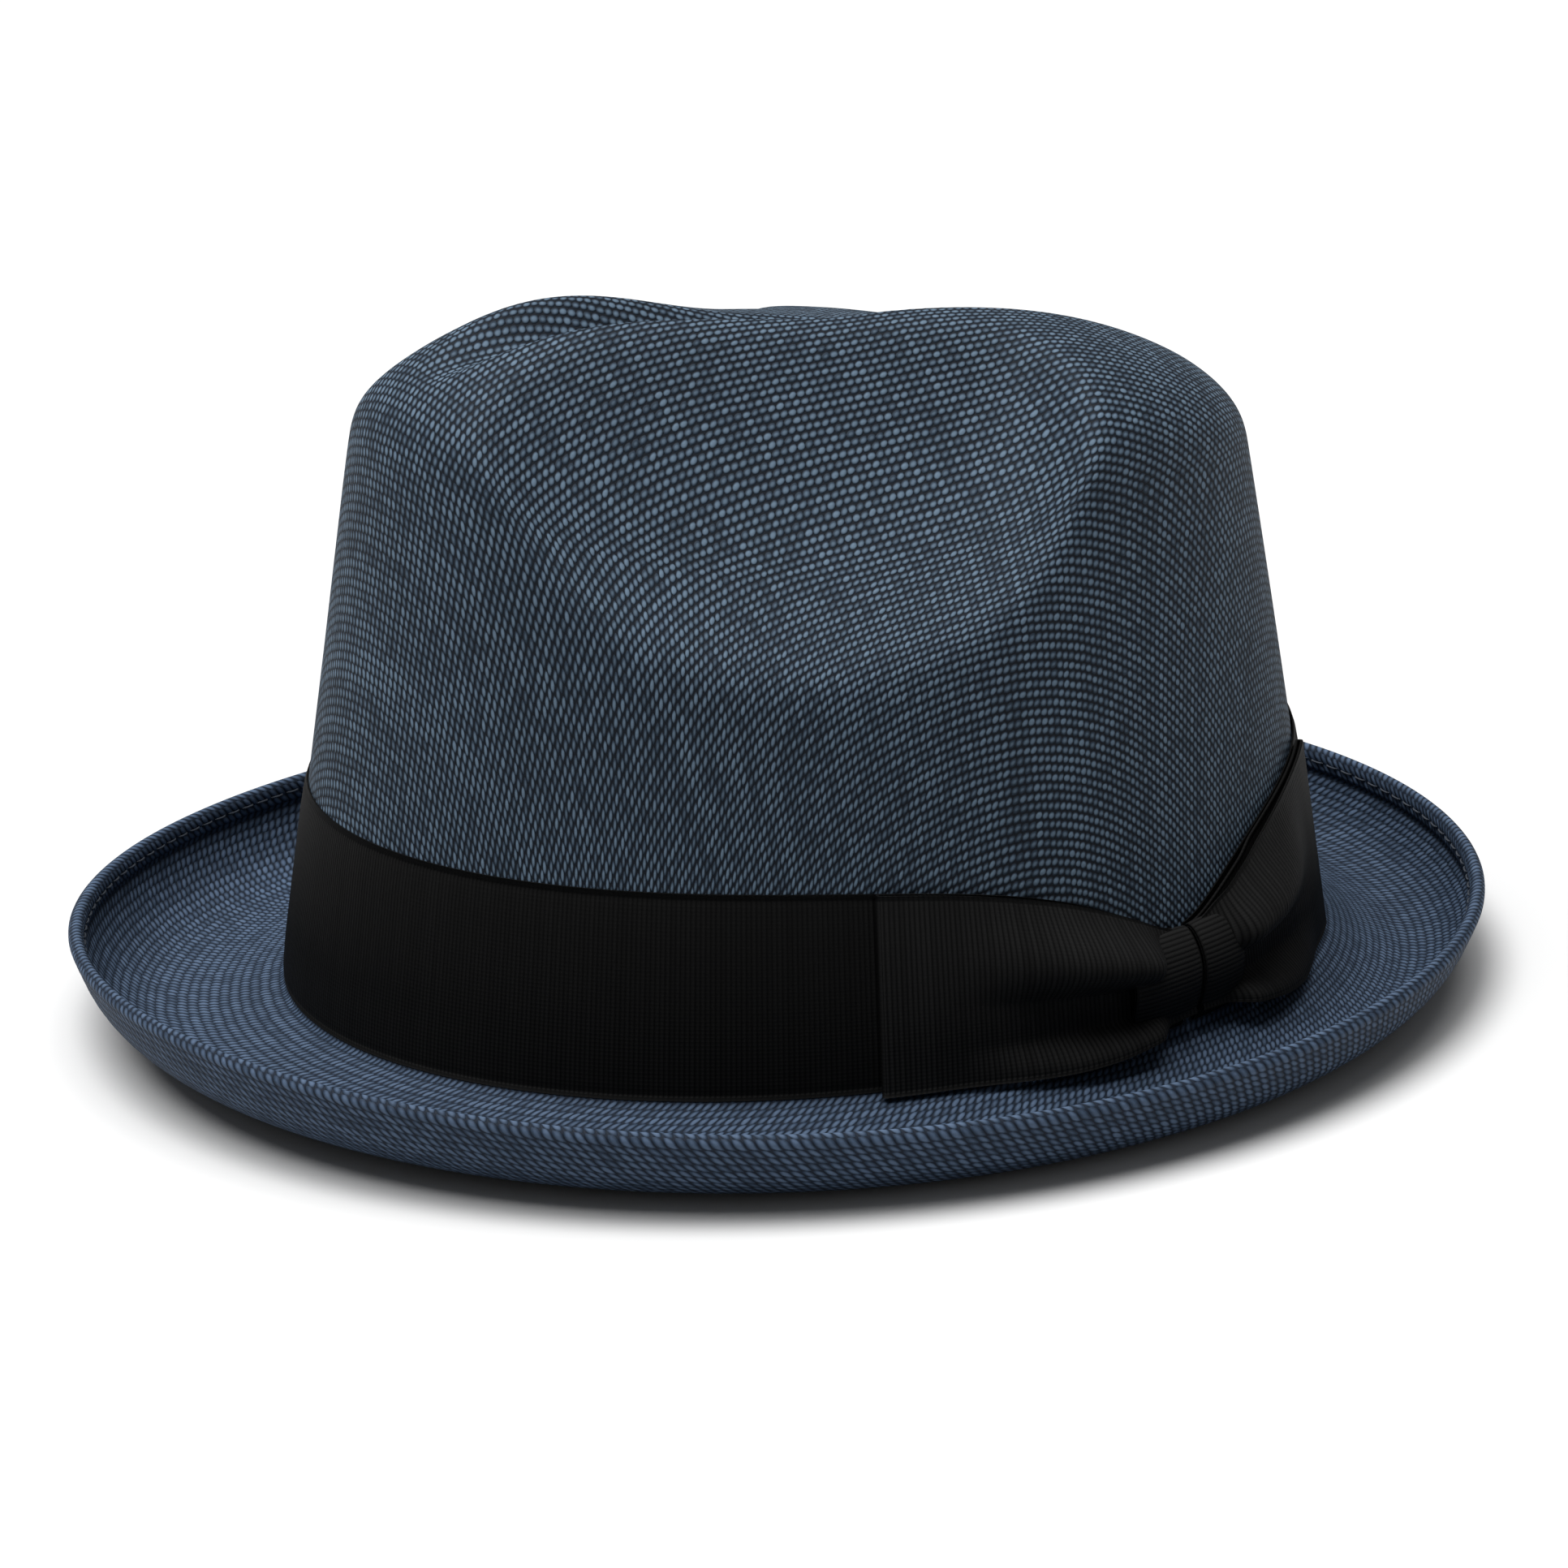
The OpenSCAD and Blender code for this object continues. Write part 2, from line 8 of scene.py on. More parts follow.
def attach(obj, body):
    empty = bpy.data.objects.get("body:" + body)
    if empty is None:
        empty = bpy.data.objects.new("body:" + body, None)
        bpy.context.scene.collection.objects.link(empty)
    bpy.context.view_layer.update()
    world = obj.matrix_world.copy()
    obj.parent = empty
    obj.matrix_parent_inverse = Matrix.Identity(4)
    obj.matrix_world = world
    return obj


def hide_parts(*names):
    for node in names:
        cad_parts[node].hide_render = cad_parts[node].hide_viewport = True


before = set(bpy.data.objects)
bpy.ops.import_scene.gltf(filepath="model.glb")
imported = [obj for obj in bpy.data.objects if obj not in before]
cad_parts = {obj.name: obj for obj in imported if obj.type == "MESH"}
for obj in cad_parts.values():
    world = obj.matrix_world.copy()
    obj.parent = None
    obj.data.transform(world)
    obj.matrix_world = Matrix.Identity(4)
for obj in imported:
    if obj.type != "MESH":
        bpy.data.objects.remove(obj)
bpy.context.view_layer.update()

# Short-brimmed fedora of woven paper straw, standing on its brim.
# Shapes are worked out in millimetres and turned into metres as each mesh
# is made.  +Z up, front of the hat towards -Y, wearer's left is +X.
# A turn is the angle round the hat in degrees: 0 at the wearer's left,
# 90 at the back.  Heights are above the break line between crown and brim.
MM = 0.001

# ------------------------------------------------------------------ sizes

# Crown
HALF_W = 84.5
HALF_L = 103.5
WALL_H = 104.4
DOME_H = 26.4
TAPER = 0.14
DOME_POWER = 2.8
CROWN_H = WALL_H + DOME_H
CROWN_BACK = 4.9
STRAW_T = 1.0
BACK_FALL = 0.0025
FALL_START = 3.3
FRONT_RISE = 5.7
FRONT_RUN = 60.0
RIDGE_LEAN = 15.0
LEAN_START = 65.0
LEAN_RUN = 96.0
LEAN_SOFT = 12.0

# Crease along the top
CREASE_DEPTH = 12.0
CREASE_FRONT = -0.773 * HALF_L
CREASE_BACK = 0.70 * HALF_L
CREASE_TIP_W = 6.5
CREASE_HALF_W = 24.0
CREASE_WIDEN = 1.25
CREASE_BIAS = 0.9

# Pinch on each side of the front
PINCH_Z = 74.2
PINCH_TURN = 72.0
PINCH_SLOPE = 36.0
PINCH_HALF_W = 45.3
PINCH_AHEAD = 15.4
PINCH_CLIMB = 1.2
CLIMB_SOFT = 10.0
FLANK_TURN = 80.0
FLANK_SLOPE = 56.5
FLANK_REACH = 25.5
PUSH_TURN = 68.0
PUSH_SLOPE = 42.0
VALLEY_SOFT = 8.0
EDGE_SOFT = 3.6
PINCH_FLOOR_Z = 50.0
PINCH_FLOOR_RUN = 15.0

# Brim and its rolled edge
BRIM_HALF_W = 122.0
BRIM_HALF_L = 139.3
BRIM_DROP = 5.5
FRONT_LIFT = 5.5
BACK_LIFT = 1.5
STAND = BRIM_DROP + STRAW_T / 2
FILLET_R = 2.4
FILLET_TURN = 66.0
CURL_R = 15.0
CURL_TURN = 66.0
UPSTAND = 4.4
WIRE_D = 0.8
WIRE_ROOM = 0.12
ROLL_R = WIRE_D / 2 + WIRE_ROOM + STRAW_T / 2
ROLL_TURN = 180.0
TURN_IN = 3.0
HEM_THIN = 0.5

TUCK_ROWS = 5
HEM_PRESS = 2 * ROLL_R - STRAW_T * (1 + HEM_THIN) / 2 - WIRE_ROOM

# Weave of the straw
THREAD_PITCH = 1.75
BRIM_THREADS = 420
BRIM_SLANT = 0.5
SEED_SLANT = 28.0
ROW_RELIEF = 0.11
SHEAR_POWER = 1.7

# Sweatband
SWEAT_H = 34.0
SWEAT_T = 0.6
REED_D = 1.2
LAYER_GAP = 0.12
TAPE_W = 13.0
TAPE_LOW = 12.5
TAPE_HIGH = SWEAT_H - 1
BEND_Z = 11.0
CLEAR_Z = 6.0
END_Z = 7.5
SWEAT_EASE = 0.3
SWEAT_MID = 0.62
THREAD_GAP = 0.02
THREAD_D = 0.4

# Ribbon band and bow
BAND_H = 38.5
BAND_LIFT = 2.0
RIBBON_T = 0.55
KNOT_TURN = 20.0
GATHER_DIP = 28.0
GATHER_SPREAD = 15.0
GATHER_ROUND = 5.0
WING_TURN = 37.0
KNOT_FRONT_STRIP = 9.3
KNOT_REAR_STRIP = 6.6
RIB_PITCH = 1.0
MM_PER_TURN = HALF_L * math.pi / 180
KNOT_GAP = 0.3
WING_GAP = 0.5
TUCK_START = 0.6
TUCK_RUN = 0.12
BAND_OUT = LAYER_GAP + RIBBON_T
KNOT_BACK = BAND_OUT + LAYER_GAP + RIBBON_T / 2
WING_UNDER_KNOT = KNOT_BACK + RIBBON_T + LAYER_GAP
WING_OVER_KNOT = WING_UNDER_KNOT + RIBBON_T + LAYER_GAP
FOLD_R = RIBBON_T * 0.9

# How finely the straw is cut up
STRAW_COLUMNS = 288
WALL_ROWS = 52
DOME_ROWS = 64


# ---------------------------------------------------------- plain helpers

def sin_d(angle):
    return np.sin(np.radians(angle))


def cos_d(angle):
    return np.cos(np.radians(angle))


def smooth(k):
    """Eased step from 0 to 1."""
    k = np.clip(k, 0, 1)
    return k * k * (3 - 2 * k)


def soft_min(a, b, width):
    return (a + b - np.sqrt((a - b) ** 2 + width ** 2)) / 2


def soft_up(a, width):
    return (a + np.sqrt(a * a + width ** 2)) / 2


def points(x, y, z):
    return np.stack(np.broadcast_arrays(x, y, z), axis=-1).astype(float)


def unit(v):
    return v / np.maximum(np.linalg.norm(v, axis=-1, keepdims=True), 1e-9)


# ------------------------------------------------------- shape of the hat

def wall(turn, z, off=0.0):
    """Point on the straw wall, moved out by off."""
    return points(
        (HALF_W - TAPER * z + off) * cos_d(turn),
        (HALF_L - TAPER * z + off) * sin_d(turn) + CROWN_BACK,
        z + STAND,
    )


def wall_length(start, end, z):
    """Length along the wall between two turns at height z, measured in short steps."""
    line = wall(np.linspace(start, end, 400), z)
    return float(np.linalg.norm(np.diff(line, axis=0), axis=-1).sum())


def wall_reach(turn, z):
    return math.hypot((HALF_W - TAPER * z) * sin_d(turn), (HALF_L - TAPER * z) * cos_d(turn))


def facing(side, turn, lean):
    return np.array([side * sin_d(turn) * sin_d(lean), -cos_d(turn) * sin_d(lean), cos_d(lean)])


def open_crown(turn, level):
    """Crown before it is creased.  Level runs 0 to 1 up the wall and 1 to 2 over the top."""
    over = np.clip(level - 1, 0, 1) * 90
    shrink = np.where(level > 1, np.maximum(cos_d(over), 0) ** (2 / DOME_POWER), 1.0)
    top = WALL_H + DOME_H * sin_d(over) ** (2 / DOME_POWER)
    side = FILLET_R + (WALL_H - FILLET_R) * np.clip(level, 0, 1)
    z = np.where(level > 1, top, side)
    x = (HALF_W - TAPER * z) * shrink * cos_d(turn)
    y = (HALF_L - TAPER * z) * shrink * sin_d(turn)
    k = z / CROWN_H
    fall = BACK_FALL * np.maximum(y - FALL_START, 0) ** 2 * k ** 2
    right = 0.5 - 0.5 * x / np.hypot(x, LEAN_SOFT)
    lean = RIDGE_LEAN * right * smooth((y + LEAN_START) / LEAN_RUN) * k ** 4
    rise = FRONT_RISE * smooth(-y / FRONT_RUN) * k ** 4
    return points(x, y, z - fall - lean + rise)


def crease(p):
    """Depth of the long crease below the top."""
    x, y = p[..., 0], p[..., 1]
    u = np.clip((y - CREASE_FRONT) / (CREASE_BACK - CREASE_FRONT), 0, 1)
    w = CREASE_TIP_W + (CREASE_HALF_W - CREASE_TIP_W) * sin_d(90 * np.minimum(u * CREASE_WIDEN, 1))
    return CREASE_DEPTH * sin_d(180 * u ** CREASE_BIAS) * np.maximum(1 - (x / w) ** 2, 0) ** 2


def pinch(p, side):
    """How far the pinch on one side pushes the crown in."""
    floor_n = facing(side, PINCH_TURN, PINCH_SLOPE)
    flank_n = facing(side, FLANK_TURN, FLANK_SLOPE)
    push = facing(side, PUSH_TURN, PUSH_SLOPE)
    floor_c = sin_d(PINCH_SLOPE) * wall_reach(PINCH_TURN, PINCH_Z) + cos_d(PINCH_SLOPE) * PINCH_Z
    flank_c = sin_d(FLANK_SLOPE) * FLANK_REACH + cos_d(FLANK_SLOPE) * (CROWN_H - 2)
    across = side * p[..., 0] * cos_d(PINCH_TURN) + p[..., 1] * sin_d(PINCH_TURN) + PINCH_AHEAD
    climb = PINCH_CLIMB * soft_up(np.abs(across) - PINCH_HALF_W, CLIMB_SOFT)
    f = (p @ floor_n - floor_c - climb) / (floor_n @ push)
    g = (p @ flank_n - flank_c) / (flank_n @ push)
    reach = np.clip((p[..., 2] - PINCH_FLOOR_Z) / PINCH_FLOOR_RUN, 0, 1)
    deep = soft_up(soft_min(f, g, VALLEY_SOFT), EDGE_SOFT) * reach
    return deep[..., None] * push


def creased_crown(p, level):
    q = p - pinch(p, 1) - pinch(p, -1)
    q[..., 2] -= crease(p) * np.clip((level - 1) * 5, 0, 1)
    return q + np.array([0, CROWN_BACK, STAND])


def foot_at(turn):
    return points(HALF_W * cos_d(turn), HALF_L * sin_d(turn) + CROWN_BACK, STAND)


def edge_at(turn):
    return points(BRIM_HALF_W * cos_d(turn), BRIM_HALF_L * sin_d(turn), STAND)


def brim_point(turn, x, z):
    """Point of the brim x out from the break line and z above it.  The brim is lifted towards its
    edge at the front and back of the hat."""
    foot = foot_at(turn)
    out = edge_at(turn) - foot
    share = x / np.linalg.norm(out, axis=-1)
    end = FRONT_LIFT + (BACK_LIFT - FRONT_LIFT) * (1 + sin_d(turn)) / 2
    lift = end * sin_d(turn) ** 2 * np.clip(share, 0, 1) ** 1.5
    return foot + share[..., None] * out + points(0, 0, z + lift)


def bend_x(span):
    """Where the curl of the brim starts, out from the break line."""
    return (span - CURL_R * sin_d(CURL_TURN) - UPSTAND * cos_d(CURL_TURN)
            - ROLL_R * (1 - sin_d(CURL_TURN)) - STRAW_T / 2)


def wire_hub(span):
    """Where the wire lies in the brim section."""
    x = bend_x(span) + CURL_R * sin_d(CURL_TURN) + UPSTAND * cos_d(CURL_TURN)
    z = -BRIM_DROP + CURL_R * (1 - cos_d(CURL_TURN)) + UPSTAND * sin_d(CURL_TURN)
    return x - ROLL_R * sin_d(CURL_TURN), z + ROLL_R * cos_d(CURL_TURN)


def brim_section(span):
    """Middle line of the straw from the wall foot to the turned-in edge, for one span."""
    fillet = np.linspace(0.35, 1, 4) * FILLET_TURN
    start = np.array([-STRAW_T / 2, FILLET_R])
    bow = start + FILLET_R * np.stack([1 - cos_d(fillet), -sin_d(fillet)], axis=-1)
    foot = bow[-1]
    run = np.linspace(0, 1, 54)[1:-1]
    slope = np.stack([foot[0] + (bend_x(span) - foot[0]) * run,
                      foot[1] + (-BRIM_DROP - foot[1]) * sin_d(90 * run)], axis=-1)
    bend = np.linspace(0, 1, 32) * CURL_TURN
    curl = np.stack([bend_x(span) + CURL_R * sin_d(bend),
                     -BRIM_DROP + CURL_R * (1 - cos_d(bend))], axis=-1)
    hub_x, hub_z = wire_hub(span)
    round_it = CURL_TURN - 90 + np.linspace(0, 1, 12) * ROLL_TURN
    roll = np.stack([hub_x + ROLL_R * cos_d(round_it), hub_z + ROLL_R * sin_d(round_it)], axis=-1)
    rise = np.linspace(0, 1, 11)[1:-1, None]
    stand = curl[-1] + (roll[0] - curl[-1]) * rise
    down = np.array([cos_d(CURL_TURN), sin_d(CURL_TURN)]) * TURN_IN
    press = np.array([sin_d(CURL_TURN), -cos_d(CURL_TURN)]) * HEM_PRESS
    share = np.linspace(0, 1, TUCK_ROWS + 1)[1:, None]
    tuck = roll[-1] + (press - down) * share
    return np.concatenate([bow, slope, curl, stand, roll, tuck])


def hem_thickness(count):
    """Thickness of the brim straw along its section, pressed thin towards the turned-in edge."""
    thin = np.ones(count)
    thin[-TUCK_ROWS:] = np.linspace(1, HEM_THIN, TUCK_ROWS + 1)[1:]
    return STRAW_T * thin


def section_normals(path):
    along = unit(np.gradient(path, axis=0))
    return np.stack([-along[:, 1], along[:, 0]], axis=-1)


def brim_side(turns, side):
    """One face of the brim straw, its rows raised.  Returns points and the row count at each."""
    mean_span = np.mean(np.linalg.norm(edge_at(turns) - foot_at(turns), axis=-1))
    middle = brim_section(mean_span)
    steps = np.linalg.norm(np.diff(middle, axis=0), axis=-1)
    rows = np.concatenate([[0], np.cumsum(steps)]) / THREAD_PITCH
    fade = smooth(rows / 2) * smooth((rows[-1] - rows) / 3)
    relief = ROW_RELIEF * fade * (0.5 - 0.5 * np.cos(2 * math.pi * rows)) - ROW_RELIEF * fade
    columns = []
    for turn in turns:
        path = brim_section(np.linalg.norm(edge_at(turn) - foot_at(turn)))
        path = path + section_normals(path) * (side * (hem_thickness(len(path)) / 2 + relief))[:, None]
        columns.append(brim_point(turn, path[:, 0], path[:, 1]))
    return np.array(columns), rows


def band_top(turn):
    """Height of the top edge of the band and bow, drawn down at the knot."""
    away = np.abs((turn - KNOT_TURN + 540) % 360 - 180)
    return BAND_LIFT + BAND_H - GATHER_DIP * np.exp(-np.hypot(away, GATHER_ROUND) / GATHER_SPREAD)


# --------------------------------------------------------------- meshes

def mesh_piece(name, places, faces, face_uvs, smooth_shade=True):
    """Object from points in millimetres, faces as rows of indices, and one weave coordinate per corner."""
    mesh = bpy.data.meshes.new(name)
    mesh.from_pydata((np.asarray(places) * MM).tolist(), [], faces)
    layer = mesh.uv_layers.new(name="weave")
    flat = np.concatenate([np.asarray(uv, dtype=np.float32).ravel() for uv in face_uvs])
    layer.data.foreach_set("uv", flat)
    mesh.polygons.foreach_set("use_smooth", [smooth_shade] * len(mesh.polygons))
    mesh.validate()
    piece = bpy.data.objects.new(name, mesh)
    bpy.context.scene.collection.objects.link(piece)
    return piece


def grid_faces(columns, rows, closed, base=0, flip=False):
    """Quads of a grid and, for each corner, its column and row."""
    count = columns if closed else columns - 1
    i, j = np.meshgrid(np.arange(count), np.arange(rows - 1), indexing="ij")
    corners = [(i, j), (i + 1, j), (i + 1, j + 1), (i, j + 1)]
    if flip:
        corners.reverse()
    index = np.stack([base + (a % columns) * rows + b for a, b in corners], axis=-1).reshape(-1, 4)
    place = np.stack([np.stack([a, b], axis=-1) for a, b in corners], axis=2).reshape(-1, 4, 2)
    return index, place


def slab(name, front, back, across, along, closed=False):
    """Solid between two equal grids.  across and along are the weave counts of its columns and rows."""
    columns, rows = front.shape[:2]
    across = np.asarray(across, dtype=float)
    along = np.broadcast_to(along, (columns, rows))
    if closed:
        across = np.append(across, 2 * across[-1] - across[-2])
        along = np.concatenate([along, along[:1]])
    places = np.concatenate([front.reshape(-1, 3), back.reshape(-1, 3)])
    half = columns * rows
    faces, uvs = [], []
    for base, flip in ((0, False), (half, True)):
        index, place = grid_faces(columns, rows, closed, base, flip)
        faces += index.tolist()
        uvs.append(np.stack([across[place[..., 0]], along[place[..., 0], place[..., 1]]], axis=-1))

    def strip(edge, places_of):
        for k in range(len(edge) - 1):
            a, b = edge[k], edge[k + 1]
            faces.append([a, a + half, b + half, b])
            uvs.append([places_of(k), places_of(k), places_of(k + 1), places_of(k + 1)])

    last = columns + 1 if closed else columns
    bottom = [(i % columns) * rows for i in range(last)]
    top = [i + rows - 1 for i in bottom]
    strip(bottom[::-1], lambda k: (across[last - 1 - k], along[last - 1 - k, 0]))
    strip(top, lambda k: (across[k], along[k, rows - 1]))
    if not closed:
        strip(list(range(rows)), lambda k: (across[0], along[0, k]))
        tail = [(columns - 1) * rows + j for j in range(rows)]
        strip(tail[::-1], lambda k: (across[-1], along[-1, rows - 1 - k]))
    return mesh_piece(name, places, faces, uvs)


def straw_mesh(name):
    """Crown and brim as one closed skin of straw, woven in one piece."""
    turns = np.arange(STRAW_COLUMNS) * 360 / STRAW_COLUMNS
    wall_levels = np.linspace(0, 1, WALL_ROWS + 1)
    top_levels = 1 + (1 - (1 - np.linspace(0, 1, DOME_ROWS + 1)[1:-1]) ** 1.35)
    levels = np.concatenate([wall_levels, top_levels])[::-1]
    turn_grid, level_grid = np.meshgrid(turns, levels, indexing="ij")
    bare = open_crown(turn_grid, level_grid)
    outside = creased_crown(bare, level_grid)
    lattice = cloth_lattice(bare, level_grid)

    around = np.roll(outside, -1, axis=0) - np.roll(outside, 1, axis=0)
    down = np.gradient(outside, axis=1)
    inside = outside - STRAW_T * unit(np.cross(down, around))

    brim_top, rows = brim_side(turns, 1)
    brim_under, _ = brim_side(turns, -1)
    brim_across = np.arange(STRAW_COLUMNS + 1) * BRIM_THREADS / STRAW_COLUMNS

    loop = np.concatenate([outside, brim_top, brim_under[:, ::-1], inside[:, ::-1]], axis=1)
    count = loop.shape[1]
    levels_n, brim_n = len(levels), len(rows)
    index, place = grid_faces(STRAW_COLUMNS, count, True)
    index = index[:, ::-1]
    place = place[:, ::-1]
    column, row = place[..., 0], place[..., 1]
    lattice_loop = np.zeros((STRAW_COLUMNS, count, 2))
    lattice_loop[:, :levels_n] = lattice
    lattice_loop[:, -levels_n:] = lattice[:, ::-1]
    row_loop = np.zeros(count)
    row_loop[levels_n:levels_n + brim_n] = rows
    row_loop[levels_n + brim_n:levels_n + 2 * brim_n] = rows[::-1]
    on_brim = (row.min(axis=1) >= levels_n - 1) & (row.max(axis=1) <= levels_n + 2 * brim_n)
    crown_uv = lattice_loop[column % STRAW_COLUMNS, row]
    brim_uv = np.stack([brim_across[column] + BRIM_SLANT * row_loop[row], row_loop[row]], axis=-1)
    uvs = np.where(on_brim[:, None, None], brim_uv, crown_uv)

    places = loop.reshape(-1, 3)
    tips = [loop[:, 0].mean(axis=0), loop[:, -1].mean(axis=0)]
    places = np.concatenate([places, tips])
    faces = index.tolist()
    tip_uvs = []
    for which, first in ((0, 0), (1, count - 1)):
        middle = lattice_loop[:, first].mean(axis=0)
        for i in range(STRAW_COLUMNS):
            j = (i + 1) % STRAW_COLUMNS
            a, b = i * count + first, j * count + first
            ua, ub = lattice_loop[i, first], lattice_loop[j, first]
            if which == 0:
                faces.append([len(places) - 2, a, b])
                tip_uvs.append([middle, ua, ub])
            else:
                faces.append([len(places) - 1, b, a])
                tip_uvs.append([middle, ub, ua])
    piece = mesh_piece(name, places, faces, [uvs] + tip_uvs)
    kind = piece.data.attributes.new("on_brim", "FLOAT", "POINT")
    brim_share = np.zeros((STRAW_COLUMNS, count))
    brim_share[:, levels_n:levels_n + 2 * brim_n] = 1
    kind.data.foreach_set("value", np.append(brim_share.ravel(), [0, 0]).astype(np.float32))
    return piece


def cloth_lattice(bare, level):
    """Thread counts of a square cloth laid over the crown, its threads running along and across
    the hat.  Over the top the cloth keeps its shape; down the wall it shears between the threads."""
    steps = np.linalg.norm(np.diff(bare, axis=1), axis=-1)
    start = np.linalg.norm(bare[:, :1, :2], axis=-1)
    travel = np.concatenate([start, start + np.cumsum(steps, axis=1)], axis=1)
    rim = travel[:, np.argmin(np.abs(level[0] - 1))][:, None]
    way = unit(bare[..., :2])
    flat = np.minimum(travel, rim)[..., None] * way
    below = np.maximum(travel - rim, 0)[..., None] * np.sign(way) * np.abs(way) ** SHEAR_POWER
    return (flat + below) / THREAD_PITCH


def cord(name, centres, radius, closed=True, sides=8):
    """Round cord through a list of centre points."""
    centres = np.asarray(centres)
    if closed:
        along = unit(np.roll(centres, -1, axis=0) - np.roll(centres, 1, axis=0))
    else:
        along = unit(np.gradient(centres, axis=0))
    side = unit(np.cross(along, np.array([0.0, 0.0, 1.0])))
    up = np.cross(side, along)
    angle = np.arange(sides) * 2 * math.pi / sides
    ring = (centres[:, None] + radius * (np.cos(angle)[None, :, None] * side[:, None]
            + np.sin(angle)[None, :, None] * up[:, None]))
    n = len(centres)
    count = n if closed else n - 1
    faces, uvs = [], []
    length = np.concatenate([[0], np.cumsum(np.linalg.norm(np.diff(centres, axis=0), axis=-1))])
    length = np.append(length, 2 * length[-1] - length[-2]) / THREAD_PITCH
    for i in range(count):
        for j in range(sides):
            k = (j + 1) % sides
            a = (i + 1) % n
            faces.append([i * sides + j, i * sides + k, a * sides + k, a * sides + j])
            uvs.append([(j / sides, length[i]), ((j + 1) / sides, length[i]),
                        ((j + 1) / sides, length[i + 1]), (j / sides, length[i + 1])])
    if not closed:
        faces.append(list(range(sides))[::-1])
        uvs.append([(0, 0)] * sides)
        faces.append([(n - 1) * sides + j for j in range(sides)])
        uvs.append([(0, length[-1])] * sides)
    return mesh_piece(name, ring.reshape(-1, 3), faces, uvs)


def stitches(name, centres, inward, length, gap, radius, sink):
    """Row of separate stitches laid along a closed line, their ends dipping into the cloth."""
    centres = np.asarray(centres)
    ring = np.concatenate([centres, centres[:1]])
    travel = np.concatenate([[0], np.cumsum(np.linalg.norm(np.diff(ring, axis=0), axis=-1))])
    count = int(travel[-1] // (length + gap))
    sides, slices = 6, 7
    angle = np.arange(sides) * 2 * math.pi / sides
    inward_ring = np.concatenate([inward, inward[:1]])
    places, faces, uvs = [], [], []
    for s in range(count):
        spots = s * travel[-1] / count + np.linspace(0, length, slices)
        line = np.stack([np.interp(spots, travel, ring[:, a]) for a in range(3)], axis=-1)
        dip = np.stack([np.interp(spots, travel, inward_ring[:, a]) for a in range(3)], axis=-1)
        arch = (np.linspace(-1, 1, slices) ** 4)[:, None]
        line = line + dip * arch * sink
        along = unit(np.gradient(line, axis=0))
        side = unit(np.cross(along, dip))
        up = np.cross(side, along)
        base = len(places)
        for i in range(slices):
            for a in angle:
                places.append(line[i] + radius * (math.cos(a) * side[i] + math.sin(a) * up[i]))
        for i in range(slices - 1):
            for j in range(sides):
                k = (j + 1) % sides
                p, q = base + i * sides, base + (i + 1) * sides
                faces.append([p + j, p + k, q + k, q + j])
                uvs.append([(j / sides, i), ((j + 1) / sides, i),
                            ((j + 1) / sides, i + 1), (j / sides, i + 1)])
        faces.append([base + j for j in range(sides)][::-1])
        uvs.append([(0, 0)] * sides)
        faces.append([base + (slices - 1) * sides + j for j in range(sides)])
        uvs.append([(0, slices)] * sides)
    return mesh_piece(name, places, faces, uvs)


# -------------------------------------------------------- ribbon and bow

def band_mesh(name):
    """Ribbon round the crown, its two ends gathered under the knot."""
    turns = KNOT_TURN + 180 + np.linspace(-179.1, 179.1, 721)
    levels = np.linspace(0, 1, 25)
    turn_grid, level_grid = np.meshgrid(turns, levels, indexing="ij")
    height = BAND_LIFT + (band_top(turn_grid) - BAND_LIFT) * level_grid
    edge = np.minimum(level_grid, 1 - level_grid)
    lean_out = 0.25 * smooth((0.5 - np.abs(level_grid - 0.5)) / 0.2)
    away = np.abs((turn_grid - KNOT_TURN + 540) % 360 - 180)
    gathers = 0.5 * np.exp(-away / 9) * np.sin(level_grid * 5 * math.pi) ** 2
    out = lean_out + gathers
    thin = np.where(edge < 0.02, 0.6, 1.0)
    front = wall(turn_grid, height, BAND_OUT * thin + out)
    back = wall(turn_grid, height, LAYER_GAP + 0 * out)
    return slab(name, back, front, turns * MM_PER_TURN / RIB_PITCH, level_grid)


